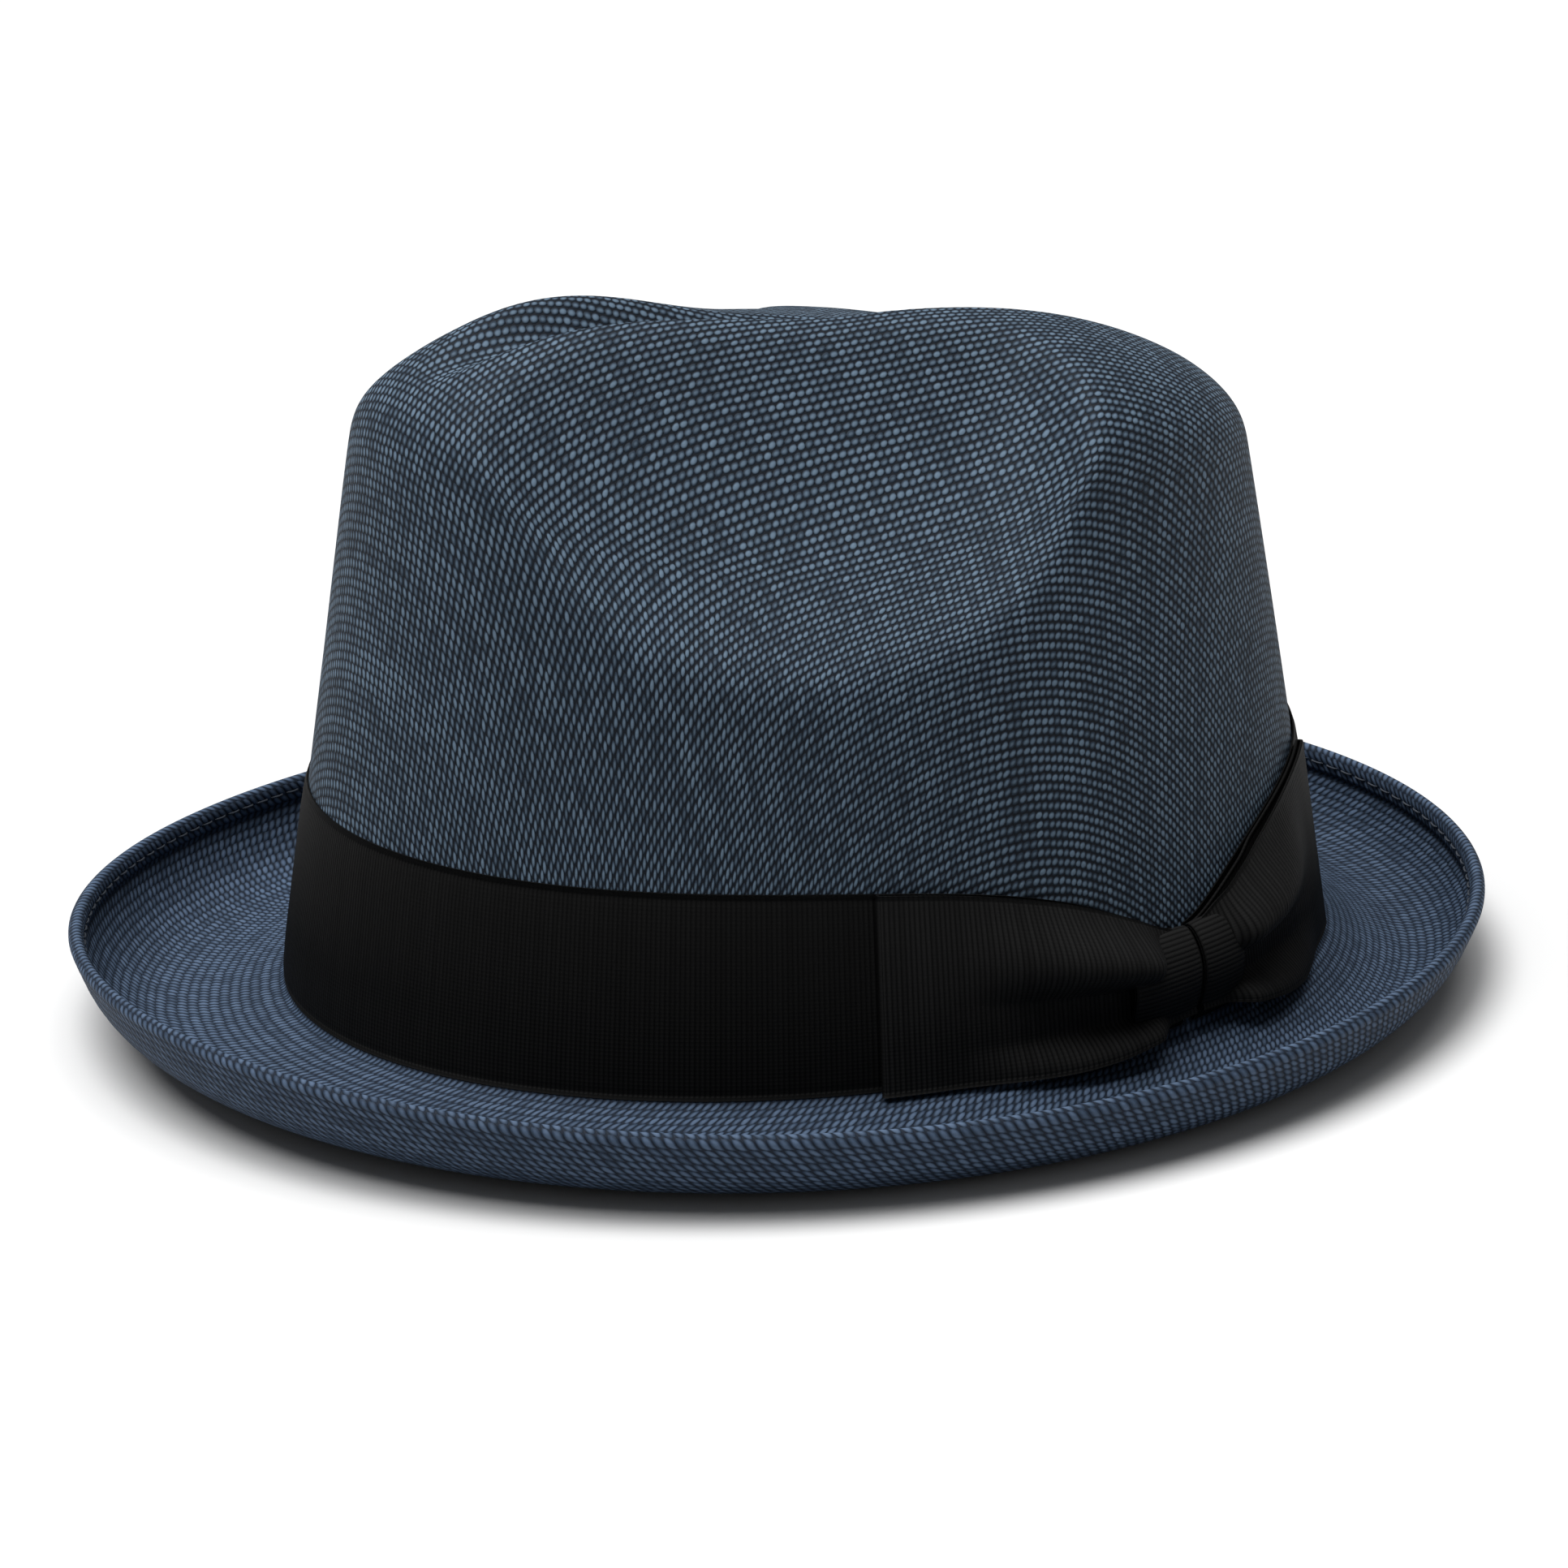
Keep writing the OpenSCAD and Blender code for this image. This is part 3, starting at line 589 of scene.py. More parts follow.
def wing_mesh(name, direction, pleat):
    """One wing of the bow: out from the knot against the band, over at its folded end and back.
    The top layer swells towards the knot and falls into a pleat below its crest."""
    length = WING_TURN * MM_PER_TURN
    root = KNOT_TURN + direction * WING_GAP
    across = np.linspace(0, 1, 41)
    u_back = np.linspace(1, FOLD_R / length, 60)
    arc = np.linspace(0, 180, 13)[1:-1]
    u_over = np.linspace(FOLD_R / length, 1, 110)
    under = KNOT_BACK
    columns = []
    runs = []

    def column(u, lift, swell):
        """Points across the ribbon at u, 0 at the fold and 1 at the knot."""
        turn = root + direction * WING_TURN * (1 - u)
        pull = smooth((u - 0.3) / 0.7)
        low = BAND_LIFT - 0.6 + 3.4 * pull ** 2
        high = band_top(turn) + 0.2
        hollow = swell * pleat_profile(across, u, pleat)
        return wall(turn + 0 * across, low + (high - low) * across, lift + hollow)

    for u in u_back:
        tuck = smooth((u - TUCK_START) / TUCK_RUN)
        columns.append(column(u, under + (WING_UNDER_KNOT - under) * tuck, 0.0))
        runs.append(-u * length)
    for a in arc:
        u = (FOLD_R - FOLD_R * sin_d(a)) / length
        columns.append(column(u, under + FOLD_R - FOLD_R * cos_d(a), 0.0))
        runs.append(-u * length)
    for u in u_over:
        tuck = smooth((u - TUCK_START) / TUCK_RUN)
        lift = under + 2 * FOLD_R + (WING_OVER_KNOT - under - 2 * FOLD_R) * tuck
        columns.append(column(u, lift, 1.0))
        runs.append(u * length)
    middle = np.array(columns)
    along = np.gradient(middle, axis=0)
    upward = np.gradient(middle, axis=1)
    outward = unit(np.cross(along, upward)) * direction
    front = middle + outward * RIBBON_T / 2
    back = middle - outward * RIBBON_T / 2
    counts = np.array(runs) / RIB_PITCH
    if direction > 0:
        return slab(name, back, front, counts, across[None, :] + 0 * counts[:, None])
    return slab(name, front, back, counts, across[None, :] + 0 * counts[:, None])


def pleat_profile(v, u, pleat):
    """How far the wing's top layer stands out, across its width v, at u towards the knot."""
    grow = smooth((u - 0.18) / 0.5) * (1 - 0.75 * smooth((u - 0.80) / 0.1))
    crest = np.exp(-((v - 0.66) / 0.25) ** 2) * 5.6
    upper = smooth((1 - v) / 0.5) * 1.2
    valley = -np.exp(-((v - 0.32) / 0.16) ** 2) * 5.0 * pleat
    lip = np.exp(-((v - 0.03) / 0.14) ** 2) * 4.0
    soft = 0.5 * smooth(u / 0.2) * np.sin(np.pi * v)
    return np.maximum(grow * (crest + upper + valley + lip), 0) + soft


def knot_mesh(name, start, width):
    """One turn of the knot, a closed loop of ribbon round the gathered wings."""
    low = BAND_LIFT + 1.6
    high = float(band_top(KNOT_TURN)) + 1.5
    back = KNOT_BACK
    ring = []
    rise = np.linspace(0, 1, 25)
    front_depth = back + 1.6 + 3.4 * np.sin(np.pi * rise ** 1.25) ** 0.75
    for k, depth in zip(rise, front_depth):
        ring.append((low + (high - low) * k, depth))
    for k in np.linspace(1, 0, 13):
        ring.append((low + 0.4 + (high - low - 0.8) * k, back))
    ring = np.array(ring)
    ring = relax(ring, 3)
    normal = loop_normals(ring)
    turns = np.linspace(start, start + width, 15)
    round_over = 0.35 * (np.abs(np.linspace(-1, 1, 15)) ** 4)

    def face(grow):
        columns = []
        for (z, depth), (nz, nd) in zip(ring, normal):
            columns.append(wall(turns, z + nz * (grow - round_over), depth + nd * (grow - round_over)))
        return np.array(columns)

    travel = np.concatenate([[0], np.cumsum(np.linalg.norm(np.diff(ring, axis=0), axis=-1))])
    across = np.linspace(0, 1, 15)
    return slab(name, face(-RIBBON_T / 2), face(RIBBON_T / 2), travel / (RIB_PITCH * 0.9),
                across[None, :] + 0 * travel[:, None], closed=True)


def relax(loop, rounds):
    """Rounds off a closed loop of points by moving each towards its neighbours."""
    for _ in range(rounds):
        loop = 0.5 * loop + 0.25 * (np.roll(loop, 1, axis=0) + np.roll(loop, -1, axis=0))
    return loop


def loop_normals(loop):
    along = unit(np.roll(loop, -1, axis=0) - np.roll(loop, 1, axis=0))
    return np.stack([along[:, 1], -along[:, 0]], axis=-1) * np.array([-1, -1]) * loop_side(loop)


def loop_side(loop):
    """1 or -1, so that normals point away from the middle of the loop."""
    along = unit(np.roll(loop, -1, axis=0) - np.roll(loop, 1, axis=0))
    guess = np.stack([-along[:, 1], along[:, 0]], axis=-1)
    return 1.0 if np.sum(guess * (loop - loop.mean(axis=0))) > 0 else -1.0


# -------------------------------------------------------------- sweatband

OUTER_LEG = LAYER_GAP + SWEAT_T / 2
HEM_TURN_R = SWEAT_T / 2 + LAYER_GAP + REED_D / 2
INNER_LEG = OUTER_LEG + 2 * HEM_TURN_R
REED_Z = FILLET_R + 1.6
BEND_LEG = OUTER_LEG + 0.8 * (INNER_LEG - OUTER_LEG)


def inside(turn, inset, z):
    return wall(turn, z, -STRAW_T - inset)


def sweat_section():
    """Section of the sweatband as inset from the straw and height, from its top edge down."""
    main = [(OUTER_LEG, SWEAT_H), (OUTER_LEG + SWEAT_EASE, SWEAT_H * SWEAT_MID),
            (BEND_LEG, BEND_Z), (INNER_LEG, CLEAR_Z)]
    bend = [(OUTER_LEG + HEM_TURN_R + HEM_TURN_R * cos_d(a), REED_Z - HEM_TURN_R * sin_d(a))
            for a in range(0, 181, 15)]
    return np.array(main + bend + [(OUTER_LEG, END_Z)])


def fine_path(path, step):
    """The same line in even steps, and how far along it each point lies."""
    travel = np.concatenate([[0], np.cumsum(np.linalg.norm(np.diff(path, axis=0), axis=-1))])
    spots = np.linspace(0, travel[-1], int(travel[-1] / step) + 1)
    return np.stack([np.interp(spots, travel, path[:, a]) for a in range(2)], axis=-1), spots


def sweatband_mesh(name):
    path, spots = fine_path(sweat_section(), 0.6)
    normal = section_normals(path)
    turns = np.linspace(90.17, 449.83, 361)

    def face(side):
        p = path + normal * side * SWEAT_T / 2
        return np.array([inside(t + 0 * spots, p[:, 0], p[:, 1]) for t in turns])

    return slab(name, face(1), face(-1), turns * MM_PER_TURN / RIB_PITCH,
                spots[None, :] + 0 * turns[:, None])


def tape_mesh(name):
    half = TAPE_W / 2 / HALF_W * 180 / math.pi
    turns = np.linspace(90 - half, 90 + half, 17)
    z = np.linspace(TAPE_LOW, TAPE_HIGH, 30)
    base = np.interp(z, [BEND_Z, SWEAT_H * SWEAT_MID, SWEAT_H],
                     [BEND_LEG, OUTER_LEG + SWEAT_EASE, OUTER_LEG])
    clear = SWEAT_T / 2 + LAYER_GAP

    def face(off):
        return np.array([inside(t + 0 * z, base + off, z) for t in turns])

    return slab(name, face(clear), face(clear + SWEAT_T), turns * MM_PER_TURN / RIB_PITCH,
                z[None, :] / RIB_PITCH + 0 * turns[:, None])


# -------------------------------------------------------------- materials

class Graph:
    """Short ways to add and join the nodes of one tree."""

    def __init__(self, tree):
        self.tree = tree

    def add(self, kind, **settings):
        node = self.tree.nodes.new(kind)
        for key, value in settings.items():
            setattr(node, key, value)
        return node

    def feed(self, socket, value):
        if isinstance(value, bpy.types.NodeSocket):
            self.tree.links.new(value, socket)
        elif value is not None:
            socket.default_value = value

    def math(self, operation, *values):
        node = self.add("ShaderNodeMath", operation=operation)
        for socket, value in zip(node.inputs, values):
            self.feed(socket, value)
        return node.outputs[0]

    def blend(self, share, first, second):
        """Mix of two colours."""
        node = self.add("ShaderNodeMix", data_type="RGBA")
        self.feed(node.inputs["Factor"], share)
        self.feed(node.inputs["A"], first)
        self.feed(node.inputs["B"], second)
        return node.outputs["Result"]

    def lerp(self, share, first, second):
        """Mix of two numbers."""
        node = self.add("ShaderNodeMix", data_type="FLOAT")
        self.feed(node.inputs["Factor"], share)
        self.feed(node.inputs["A"], first)
        self.feed(node.inputs["B"], second)
        return node.outputs["Result"]

    def span(self, value, low, high, to_low=0.0, to_high=1.0):
        node = self.add("ShaderNodeMapRange", interpolation_type="SMOOTHSTEP")
        for socket, v in zip(node.inputs, (value, low, high, to_low, to_high)):
            self.feed(socket, v)
        return node.outputs[0]

    def noise(self, place, scale, detail=2.0, roughness=0.5):
        node = self.add("ShaderNodeTexNoise")
        self.feed(node.inputs["Vector"], place)
        self.feed(node.inputs["Scale"], scale)
        self.feed(node.inputs["Detail"], detail)
        self.feed(node.inputs["Roughness"], roughness)
        return node.outputs["Fac"]

    def split(self, vector):
        node = self.add("ShaderNodeSeparateXYZ")
        self.feed(node.inputs[0], vector)
        return node.outputs

    def join(self, x=0.0, y=0.0, z=0.0):
        node = self.add("ShaderNodeCombineXYZ")
        for socket, value in zip(node.inputs, (x, y, z)):
            self.feed(socket, value)
        return node.outputs[0]

    def random(self, vector):
        node = self.add("ShaderNodeTexWhiteNoise", noise_dimensions="3D")
        self.feed(node.inputs["Vector"], vector)
        return node.outputs["Value"]

    def group(self, group, **values):
        node = self.add("ShaderNodeGroup", node_tree=group)
        for label, value in values.items():
            self.feed(node.inputs[label.replace("_", " ")], value)
        return node.outputs


def new_group(name, inputs, outputs):
    """Empty group with named sockets.  inputs holds (label, kind, value), outputs (label, kind)."""
    tree = bpy.data.node_groups.new(name, "ShaderNodeTree")
    for label, kind, value in inputs:
        socket = tree.interface.new_socket(label, in_out="INPUT", socket_type="NodeSocket" + kind)
        if value is not None:
            socket.default_value = value
    for label, kind in outputs:
        tree.interface.new_socket(label, in_out="OUTPUT", socket_type="NodeSocket" + kind)
    graph = Graph(tree)
    return graph, graph.add("NodeGroupInput").outputs, graph.add("NodeGroupOutput").inputs


def fibre_group():
    """Uneven tone from fibres: broad clouds and a fine grain."""
    g, given, out = new_group(
        "fibre tone",
        [("Place", "Vector", None), ("Cloud scale", "Float", 40.0), ("Grain scale", "Float", 3000.0),
         ("Amount", "Float", 0.2)],
        [("Tone", "Float"), ("Grain", "Float")],
    )
    cloud = g.noise(given["Place"], given["Cloud scale"], 3.0)
    grain = g.noise(given["Place"], given["Grain scale"], 2.0, 0.7)
    both = g.math("ADD", g.math("MULTIPLY", cloud, 0.5), g.math("MULTIPLY", grain, 0.5))
    swing = g.math("MULTIPLY", g.math("SUBTRACT", both, 0.5), g.math("MULTIPLY", given["Amount"], 4.0))
    g.feed(out["Tone"], g.math("ADD", swing, 1.0))
    g.feed(out["Grain"], grain)
    return g.tree


def weave_group():
    """Close weave: each square of the lattice shows one slanting bit of thread over gaps darkened as
    painted shade, with a painted highlight on the top of each thread.
    """
    g, given, out = new_group(
        "plain weave",
        [("Threads", "Vector", None), ("Gap colour", "Color", (0, 0, 0, 1)),
         ("Thread colour", "Color", (1, 1, 1, 1)), ("High colour", "Color", (1, 1, 1, 1)),
         ("Wander", "Float", 0.2), ("Unevenness", "Float", 0.3), ("Length", "Float", 1.35),
         ("Width", "Float", 0.8)],
        [("Color", "Color"), ("Height", "Float")],
    )
    slow = g.add("ShaderNodeTexNoise")
    g.feed(slow.inputs["Vector"], given["Threads"])
    g.feed(slow.inputs["Scale"], 0.55)
    g.feed(slow.inputs["Detail"], 1.0)
    move = g.add("ShaderNodeVectorMath", operation="SCALE")
    centred = g.add("ShaderNodeVectorMath", operation="SUBTRACT")
    g.feed(centred.inputs[0], slow.outputs["Color"])
    g.feed(centred.inputs[1], (0.5, 0.5, 0.5))
    g.feed(move.inputs[0], centred.outputs[0])
    g.feed(move.inputs["Scale"], given["Wander"])
    moved = g.add("ShaderNodeVectorMath", operation="ADD")
    g.feed(moved.inputs[0], given["Threads"])
    g.feed(moved.inputs[1], move.outputs[0])
    u, v, _ = g.split(moved.outputs[0])
    whole_u, whole_v = g.math("FLOOR", u), g.math("FLOOR", v)
    off_u = g.math("SUBTRACT", g.math("MULTIPLY", g.math("FRACT", u), 2.0), 1.0)
    off_v = g.math("SUBTRACT", g.math("MULTIPLY", g.math("FRACT", v), 2.0), 1.0)
    along = g.math("SUBTRACT", g.math("MULTIPLY", off_v, cos_d(SEED_SLANT)),
                   g.math("MULTIPLY", off_u, sin_d(SEED_SLANT)))
    across = g.math("ADD", g.math("MULTIPLY", off_v, sin_d(SEED_SLANT)),
                    g.math("MULTIPLY", off_u, cos_d(SEED_SLANT)))
    along = g.math("DIVIDE", along, given["Length"])
    across = g.math("DIVIDE", across, given["Width"])
    round_ = g.math("ADD", g.math("MULTIPLY", along, along), g.math("MULTIPLY", across, across))
    height = g.math("SQRT", g.math("MAXIMUM", g.math("SUBTRACT", 1.0, round_), 0.0))
    cell = g.random(g.join(whole_u, whole_v, 1.0))
    own = g.random(g.join(whole_v, 3.0, 0.0))
    tone = g.math("ADD", g.math("MULTIPLY", own, 0.35), g.math("MULTIPLY", cell, 0.65))
    tone = g.math("MULTIPLY", g.math("SUBTRACT", tone, 0.5), given["Unevenness"])
    # Painted shade: the low parts between threads blend towards the dark gap colour.
    shown = g.span(height, 0.0, 0.8)
    shown = g.math("ADD", shown, g.math("MULTIPLY", tone, shown))
    base = g.blend(shown, given["Gap colour"], given["Thread colour"])
    # Painted highlight: the top of each thread blends towards a light colour.
    crown = g.span(g.math("ADD", height, tone), 0.6, 1.1)
    g.feed(out["Color"], g.blend(crown, base, given["High colour"]))
    g.feed(out["Height"], g.math("MULTIPLY", height, g.math("ADD", 1.0, tone)))
    return g.tree


def rib_group():
    """Ribbed ribbon: fine cords across its width, with a plain selvedge along both edges, and painted
    shade in the grooves between cords.
    """
    g, given, out = new_group(
        "ribbed ribbon",
        [("Ribs", "Vector", None), ("Groove colour", "Color", (0, 0, 0, 1)),
         ("Rib colour", "Color", (1, 1, 1, 1)), ("Selvedge", "Float", 0.03),
         ("Unevenness", "Float", 0.4)],
        [("Color", "Color"), ("Height", "Float")],
    )
    u, v, _ = g.split(given["Ribs"])
    wave = g.math("ABSOLUTE", g.math("SINE", g.math("MULTIPLY", u, math.pi)))
    which = g.random(g.join(g.math("FLOOR", u), 0.0, 0.0))
    pick = g.math("ABSOLUTE", g.math("SINE", g.math("MULTIPLY", v, 160.0)))
    edge = g.math("MINIMUM", v, g.math("SUBTRACT", 1.0, v))
    inner = g.span(edge, g.math("MULTIPLY", given["Selvedge"], 0.6), given["Selvedge"])
    tone = g.math("ADD", 1.0, g.math("MULTIPLY", g.math("SUBTRACT", which, 0.5), given["Unevenness"]))
    height = g.math("ADD", wave, g.math("MULTIPLY", pick, 0.15))
    height = g.math("MULTIPLY", height, inner)
    # Painted shade: the grooves between ribs take the dark groove colour.
    shown = g.math("MULTIPLY", g.math("MULTIPLY", wave, tone), g.lerp(inner, 0.45, 1.0))
    g.feed(out["Color"], g.blend(shown, given["Groove colour"], given["Rib colour"]))
    g.feed(out["Height"], height)
    return g.tree


def twist_group():
    """Twisted yarn: slanting plies round a thread, with painted shade in the grooves between plies."""
    g, given, out = new_group(
        "twisted yarn",
        [("Place", "Vector", None), ("Ply colour", "Color", (1, 1, 1, 1)),
         ("Groove colour", "Color", (0, 0, 0, 1)), ("Plies", "Float", 3.0)],
        [("Color", "Color"), ("Height", "Float")],
    )
    u, v, _ = g.split(given["Place"])
    slant = g.math("ADD", g.math("MULTIPLY", u, given["Plies"]), g.math("MULTIPLY", v, 2.0))
    # Painted shade: the grooves between plies take the dark groove colour.
    wave = g.math("ABSOLUTE", g.math("SINE", g.math("MULTIPLY", slant, math.pi)))
    g.feed(out["Color"], g.blend(wave, given["Groove colour"], given["Ply colour"]))
    g.feed(out["Height"], wave)
    return g.tree


FIBRES = fibre_group()
WEAVE = weave_group()
RIBS = rib_group()
TWIST = twist_group()


def rgb(red, green, blue):
    """Screen colour from 0 to 255 as a linear shader colour."""
    def linear(c):
        c = c / 255
        return c / 12.92 if c <= 0.04045 else ((c + 0.055) / 1.055) ** 2.4
    return (linear(red), linear(green), linear(blue), 1.0)


def new_material(name, roughness, sheen=0.0, specular=0.5, metallic=0.0):
    material = bpy.data.materials.new(name)
    material.use_nodes = True
    graph = Graph(material.node_tree)
    shader = material.node_tree.nodes["Principled BSDF"]
    shader.inputs["Roughness"].default_value = roughness
    shader.inputs["Specular IOR Level"].default_value = specular
    shader.inputs["Metallic"].default_value = metallic
    shader.inputs["Sheen Weight"].default_value = sheen
    shader.inputs["Sheen Roughness"].default_value = 0.5
    return material, graph, shader


def toned(graph, colour, tone):
    """Colour times an uneven tone."""
    if not isinstance(colour, bpy.types.NodeSocket):
        colour = colour[:3]
    scale = graph.add("ShaderNodeVectorMath", operation="SCALE")
    graph.feed(scale.inputs[0], colour)
    graph.feed(scale.inputs["Scale"], tone)
    return scale.outputs[0]


def raised(graph, shader, height, distance, strength):
    bump = graph.add("ShaderNodeBump")
    graph.feed(bump.inputs["Height"], height)
    graph.feed(bump.inputs["Distance"], distance)
    graph.feed(bump.inputs["Strength"], strength)
    graph.feed(shader.inputs["Normal"], bump.outputs[0])


def weave_place(graph):
    return graph.add("ShaderNodeUVMap", uv_map="weave").outputs[0]


def object_place(graph):
    return graph.add("ShaderNodeTexCoord").outputs["Object"]


def blue_straw():
    """Matt paper straw, dyed blue grey, a little bluer and more even on the brim."""
    material, g, shader = new_material("blue_straw", 0.7, specular=0.14)
    fibre = g.group(FIBRES, Place=object_place(g), Cloud_scale=45.0, Grain_scale=2200.0, Amount=0.16)
    # The gap colours are painted shade between threads and the high colours a painted highlight on each
    # thread's top.
    crown = g.group(WEAVE, Threads=weave_place(g), Gap_colour=rgb(14, 20, 28),
                    Thread_colour=rgb(38, 50, 63), High_colour=rgb(90, 108, 125),
                    Wander=0.3, Unevenness=0.35, Length=1.3, Width=0.78)
    brim = g.group(WEAVE, Threads=weave_place(g), Gap_colour=rgb(20, 28, 40),
                   Thread_colour=rgb(40, 53, 70), High_colour=rgb(74, 90, 112),
                   Wander=0.3, Unevenness=0.35, Length=1.35, Width=0.86)
    share = g.add("ShaderNodeAttribute", attribute_name="on_brim").outputs["Fac"]
    colour = g.blend(share, crown["Color"], brim["Color"])
    g.feed(shader.inputs["Base Color"], toned(g, colour, fibre["Tone"]))
    height = g.lerp(share, crown["Height"], brim["Height"])
    height = g.math("ADD", height, g.math("MULTIPLY", fibre["Grain"], 0.12))
    raised(g, shader, height, 0.00032, 0.85)
    return material


def black_grosgrain(name, groove_shade, rib, roughness, sheen):
    material, g, shader = new_material(name, roughness, sheen=sheen, specular=0.1)
    fibre = g.group(FIBRES, Place=object_place(g), Cloud_scale=60.0, Grain_scale=3500.0, Amount=0.22)
    ribbon = g.group(RIBS, Ribs=weave_place(g), Groove_colour=groove_shade, Rib_colour=rib,
                     Selvedge=0.028, Unevenness=0.5)
    g.feed(shader.inputs["Base Color"], toned(g, ribbon["Color"], fibre["Tone"]))
    height = g.math("ADD", ribbon["Height"], g.math("MULTIPLY", fibre["Grain"], 0.15))
    raised(g, shader, height, 0.00016, 0.8)
    return material


def sweatband_cloth():
    material, g, shader = new_material("sweatband_cloth", 0.8, sheen=0.2, specular=0.25)
    fibre = g.group(FIBRES, Place=object_place(g), Cloud_scale=50.0, Grain_scale=4000.0, Amount=0.25)
    # Painted shade in the gaps between threads and a painted highlight on each thread's top.
    cloth = g.group(WEAVE, Threads=scaled(g, weave_place(g), 1.8), Gap_colour=rgb(9, 9, 11),
                    Thread_colour=rgb(34, 34, 38), High_colour=rgb(48, 48, 54),
                    Wander=0.1, Unevenness=0.3, Length=1.3, Width=0.9)
    g.feed(shader.inputs["Base Color"], toned(g, cloth["Color"], fibre["Tone"]))
    raised(g, shader, cloth["Height"], 0.00012, 0.7)
    return material


def scaled(graph, vector, amount):
    node = graph.add("ShaderNodeVectorMath", operation="SCALE")
    graph.feed(node.inputs[0], vector)
    graph.feed(node.inputs["Scale"], amount)
    return node.outputs[0]


def sewing_thread(name, ply, groove_shade):
    material, g, shader = new_material(name, 0.55, sheen=0.1, specular=0.4)
    yarn = g.group(TWIST, Place=weave_place(g), Ply_colour=ply, Groove_colour=groove_shade, Plies=3.0)
    fibre = g.group(FIBRES, Place=object_place(g), Cloud_scale=80.0, Grain_scale=5000.0, Amount=0.2)
    g.feed(shader.inputs["Base Color"], toned(g, yarn["Color"], fibre["Tone"]))
    raised(g, shader, yarn["Height"], 0.00008, 0.7)
    return material


def spring_steel():
    material, g, shader = new_material("spring_steel", 0.34, metallic=1.0)
    fibre = g.group(FIBRES, Place=object_place(g), Cloud_scale=90.0, Grain_scale=6000.0, Amount=0.12)
    g.feed(shader.inputs["Base Color"], toned(g, rgb(176, 178, 182), fibre["Tone"]))
    g.feed(shader.inputs["Roughness"], g.span(fibre["Grain"], 0.3, 0.7, 0.26, 0.42))
    raised(g, shader, fibre["Grain"], 0.00003, 0.4)
    return material


def reed_plastic():
    material, g, shader = new_material("reed_plastic", 0.45, specular=0.45)
    fibre = g.group(FIBRES, Place=object_place(g), Cloud_scale=70.0, Grain_scale=1500.0, Amount=0.08)
    g.feed(shader.inputs["Base Color"], toned(g, rgb(214, 214, 206), fibre["Tone"]))
    g.feed(shader.inputs["Roughness"], g.span(fibre["Grain"], 0.3, 0.7, 0.38, 0.55))
    raised(g, shader, fibre["Grain"], 0.00005, 0.3)
    return material


# ----------------------------------------------------------------- pieces

def place_piece(piece, material, node):
    """Gives a finished piece its material and its body, and hides the imported part of the node it stands
    for.
    """
    piece.data.materials.append(material)
    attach(piece, "root")
    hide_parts(node)
    return piece


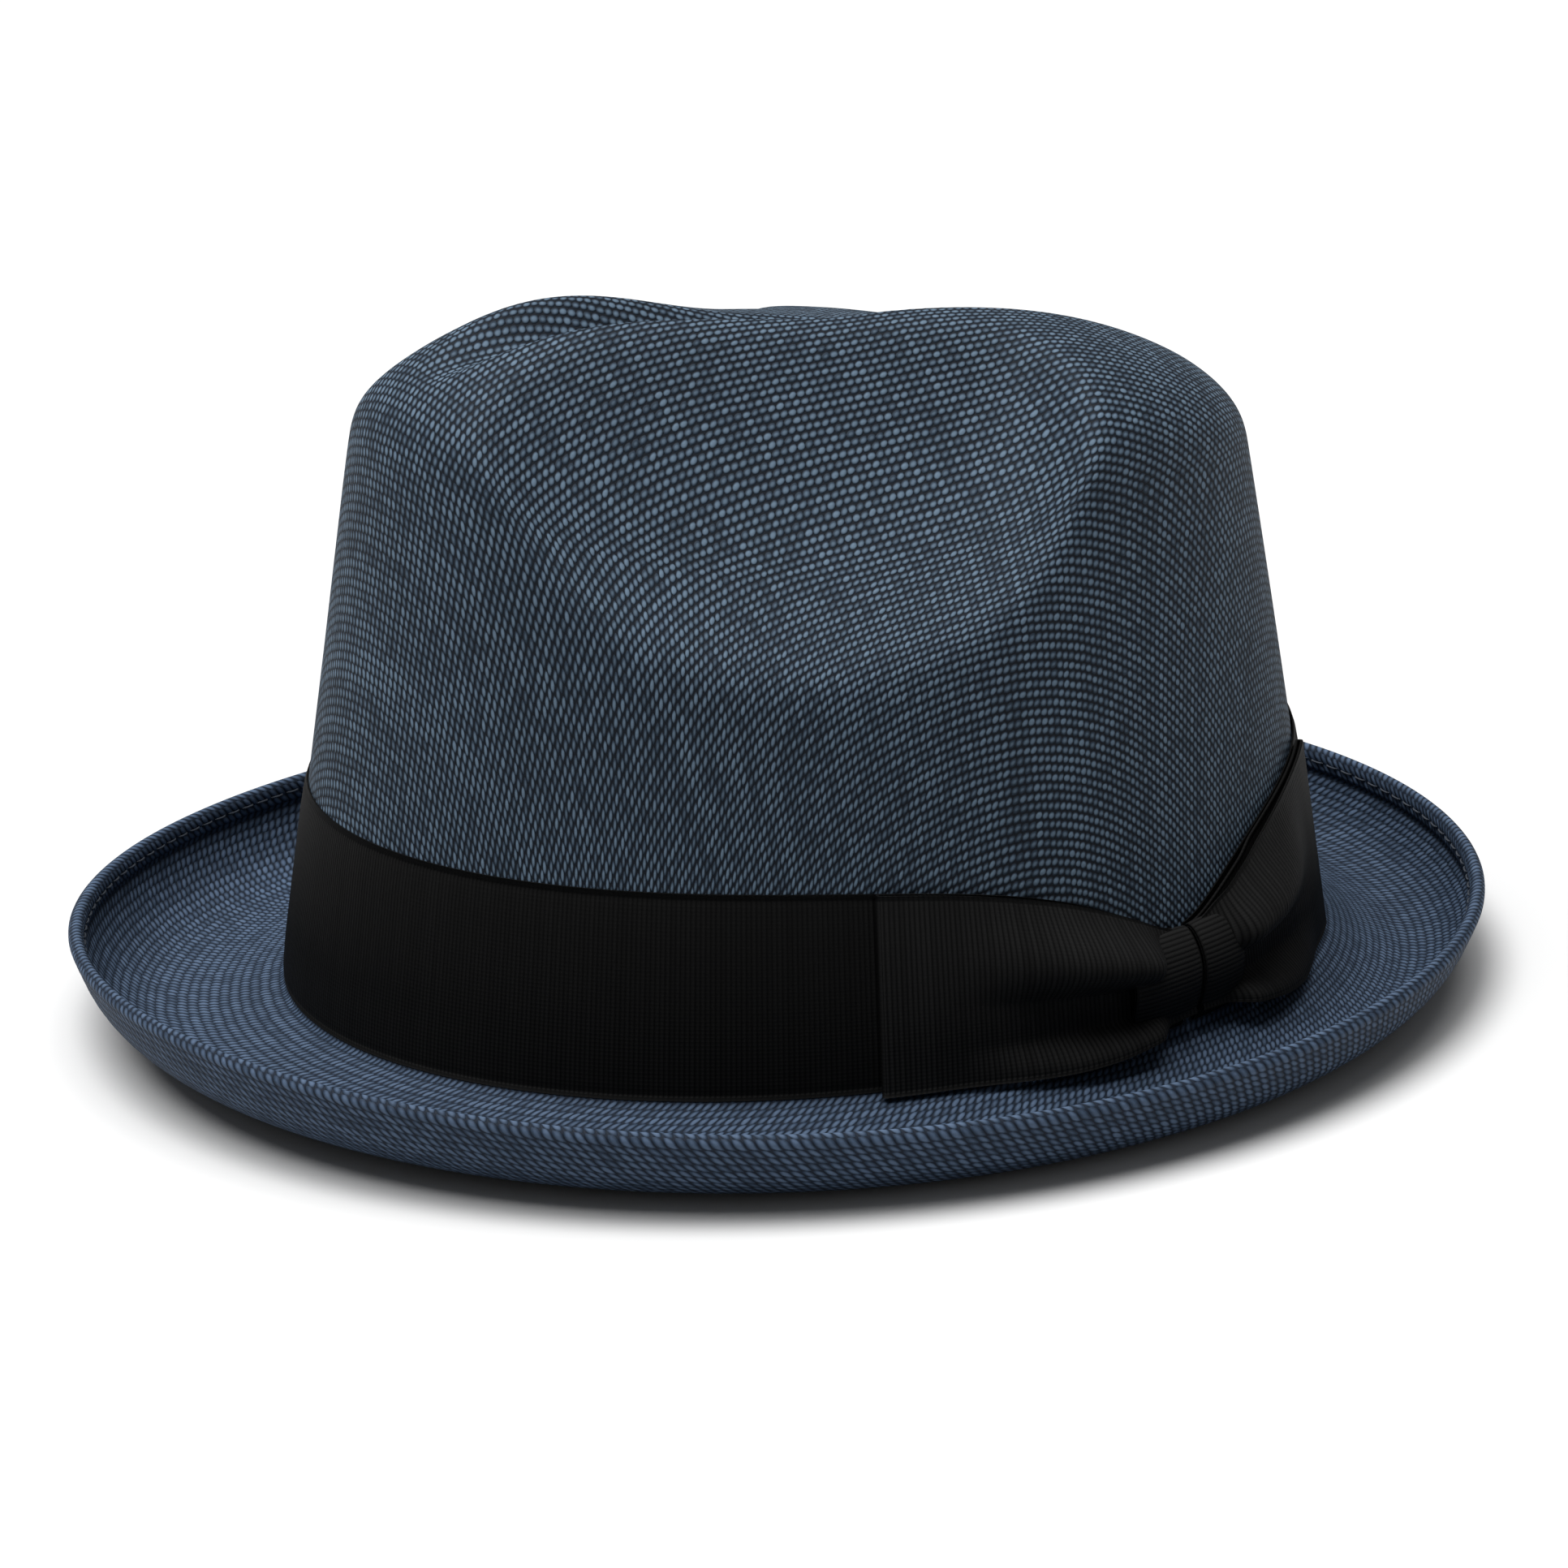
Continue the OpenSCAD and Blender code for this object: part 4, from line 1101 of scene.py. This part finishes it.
def make_hat():
    straw = blue_straw()
    # Groove colours are painted shade between the ribs.
    ribbon = black_grosgrain("black_grosgrain", rgb(2, 2, 2), rgb(13, 13, 13), 0.75, 0.0)
    # The bow is the same ribbon as the band; its lighter ribs are painted light that the standing bow
    # catches.
    bow_ribbon_painted_light = black_grosgrain("bow_grosgrain_painted_light", rgb(2, 2, 2), rgb(26, 26, 26), 0.7, 0.0)
    cloth = sweatband_cloth()
    # Groove colours are painted shade between the plies of the thread.
    blue_thread = sewing_thread("blue_thread", rgb(36, 47, 62), rgb(16, 22, 31))
    black_thread = sewing_thread("black_thread", rgb(40, 40, 42), rgb(8, 8, 9))

    body = place_piece(straw_mesh("woven_straw_body"), straw, "straw_body")

    turns = np.arange(240) * 1.5
    span = np.linalg.norm(edge_at(turns) - foot_at(turns), axis=-1)
    way = unit(edge_at(turns) - foot_at(turns))
    hub_x, hub_z = wire_hub(span)
    wire_line = brim_point(turns, hub_x, hub_z)
    place_piece(cord("brim_edge_wire", wire_line, WIRE_D / 2, sides=10), spring_steel(),
                "brim_wire")

    clear = ROLL_R - HEM_PRESS / 2 + STRAW_T * (1 + HEM_THIN) / 4 + THREAD_D / 2 + LAYER_GAP
    tuck = brim_point(turns, hub_x - clear * sin_d(CURL_TURN) - TURN_IN / 2 * cos_d(CURL_TURN),
                      hub_z + clear * cos_d(CURL_TURN) - TURN_IN / 2 * sin_d(CURL_TURN))
    place_piece(stitches("brim_hem_stitches", tuck, way, 3.2, 1.2, THREAD_D / 2, 0.35),
                blue_thread, "hem_stitching")

    sweatband = place_piece(sweatband_mesh("head_sweatband"), cloth, "sweatband")
    reed_turns = np.linspace(90.4, 449.6, 240)
    reed_line = inside(reed_turns, OUTER_LEG + HEM_TURN_R + 0 * reed_turns, REED_Z + 0 * reed_turns)
    place_piece(cord("sweatband_hem_reed", reed_line, REED_D / 2, closed=False, sides=12),
                reed_plastic(), "sweatband_reed")

    section = sweat_section()
    seam_inset, seam_z = (section[2] + section[3]) / 2
    seam_line = inside(turns, seam_inset + SWEAT_T / 2 + THREAD_D / 2 + THREAD_GAP + 0 * turns,
                       seam_z + 0 * turns)
    inward = points(cos_d(turns), sin_d(turns), 0)
    place_piece(stitches("sweatband_seam_stitches", seam_line, inward, 2.8, 1.0, THREAD_D / 2, 0.35),
                black_thread, "sweatband_stitching")
    tape = place_piece(tape_mesh("sweatband_back_tape"), cloth, "sweatband_seam_tape")

    band = place_piece(band_mesh("grosgrain_band"), ribbon, "ribbon_band")
    front_wing = place_piece(wing_mesh("bow_wing_front", -1, 1.0), bow_ribbon_painted_light, "bow_front_wing")
    rear_wing = place_piece(wing_mesh("bow_wing_rear", 1, 0.6), bow_ribbon_painted_light, "bow_rear_wing")
    front_turn = place_piece(knot_mesh("bow_knot_turn_front", KNOT_TURN - KNOT_GAP - KNOT_FRONT_STRIP,
                                       KNOT_FRONT_STRIP), bow_ribbon_painted_light, "bow_knot_front_turn")
    rear_turn = place_piece(knot_mesh("bow_knot_turn_rear", KNOT_TURN + KNOT_GAP, KNOT_REAR_STRIP),
                            bow_ribbon_painted_light, "bow_knot_rear_turn")

    declare_sheets((front_wing, rear_wing), (front_turn, rear_turn))


def declare_sheets(wings, knot_turns):
    """Works out the size each piece of cloth or ribbon was cut to from the hat's sizes; the results are
    not kept.
    """
    head_l = wall_length(0, 360, SWEAT_H / 2) - 2 * math.pi * (STRAW_T + OUTER_LEG)
    wall_length(0, 360, BAND_LIFT) * MM
    for wing, direction in zip(wings, (-1, 1)):
        reach = wall_length(KNOT_TURN, KNOT_TURN + direction * WING_TURN, BAND_H / 2)
    for piece, start, strip in (
        (knot_turns[0], KNOT_TURN - KNOT_GAP - KNOT_FRONT_STRIP, KNOT_FRONT_STRIP),
        (knot_turns[1], KNOT_TURN + KNOT_GAP, KNOT_REAR_STRIP),
    ):
        width = wall_length(start, start + strip, BAND_H / 2)


# ---------------------------------------------------------------- setting

def make_floor():
    mesh = bpy.data.meshes.new("studio_floor")
    half = 6.0
    mesh.from_pydata([(-half, -half, 0), (half, -half, 0), (half, half, 0), (-half, half, 0)], [],
                     [(0, 1, 2, 3)])
    floor = bpy.data.objects.new("studio_floor", mesh)
    bpy.context.scene.collection.objects.link(floor)
    floor.location.z = -0.0004
    material, _, shader = new_material("pale_floor", 0.95, specular=0.1)
    shader.inputs["Base Color"].default_value = (0.6, 0.6, 0.6, 1)
    mesh.materials.append(material)


def soft_sun(name, source, angle, strength):
    """Even light from one direction, its shadows softened by the angle."""
    data = bpy.data.lights.new(name, "SUN")
    data.angle = math.radians(angle)
    data.energy = strength
    light = bpy.data.objects.new(name, data)
    light.rotation_euler = Vector(source).to_track_quat("Z", "Y").to_euler()
    bpy.context.scene.collection.objects.link(light)


def make_lights():
    soft_sun("top_front", (-0.1, -0.35, 1.0), 45, 3.5)
    soft_sun("overhead", (-0.15, 0.1, 1.0), 50, 2.0)
    world = bpy.data.worlds.new("studio_world")
    world.use_nodes = True
    back = world.node_tree.nodes["Background"]
    back.inputs["Color"].default_value = (1, 1, 1, 1)
    back.inputs["Strength"].default_value = 0.18
    bpy.context.scene.world = world


def make_camera():
    """Camera round the wearer's left front, a little above, framing the whole hat."""
    azimuth, elevation = math.radians(60.0), math.radians(18.95)
    distance = 1.4
    field = 0.3014
    back = Vector((math.sin(azimuth) * math.cos(elevation),
                   -math.cos(azimuth) * math.cos(elevation), math.sin(elevation)))
    right = Vector((math.cos(azimuth), math.sin(azimuth), 0))
    aim = 0.0002 * right + 0.0365 * back.cross(right)
    data = bpy.data.cameras.new("studio_camera")
    data.sensor_width = 36.0
    data.lens = 36.0 * distance / field
    camera = bpy.data.objects.new("studio_camera", data)
    camera.location = aim + back * distance
    tilt = Quaternion((0, 0, 1), math.radians(-0.4))
    camera.rotation_euler = (back.to_track_quat("Z", "Y") @ tilt).to_euler()
    bpy.context.scene.collection.objects.link(camera)
    bpy.context.scene.camera = camera


make_camera()
make_hat()
make_floor()
make_lights()
bpy.context.scene.view_settings.view_transform = "Standard"
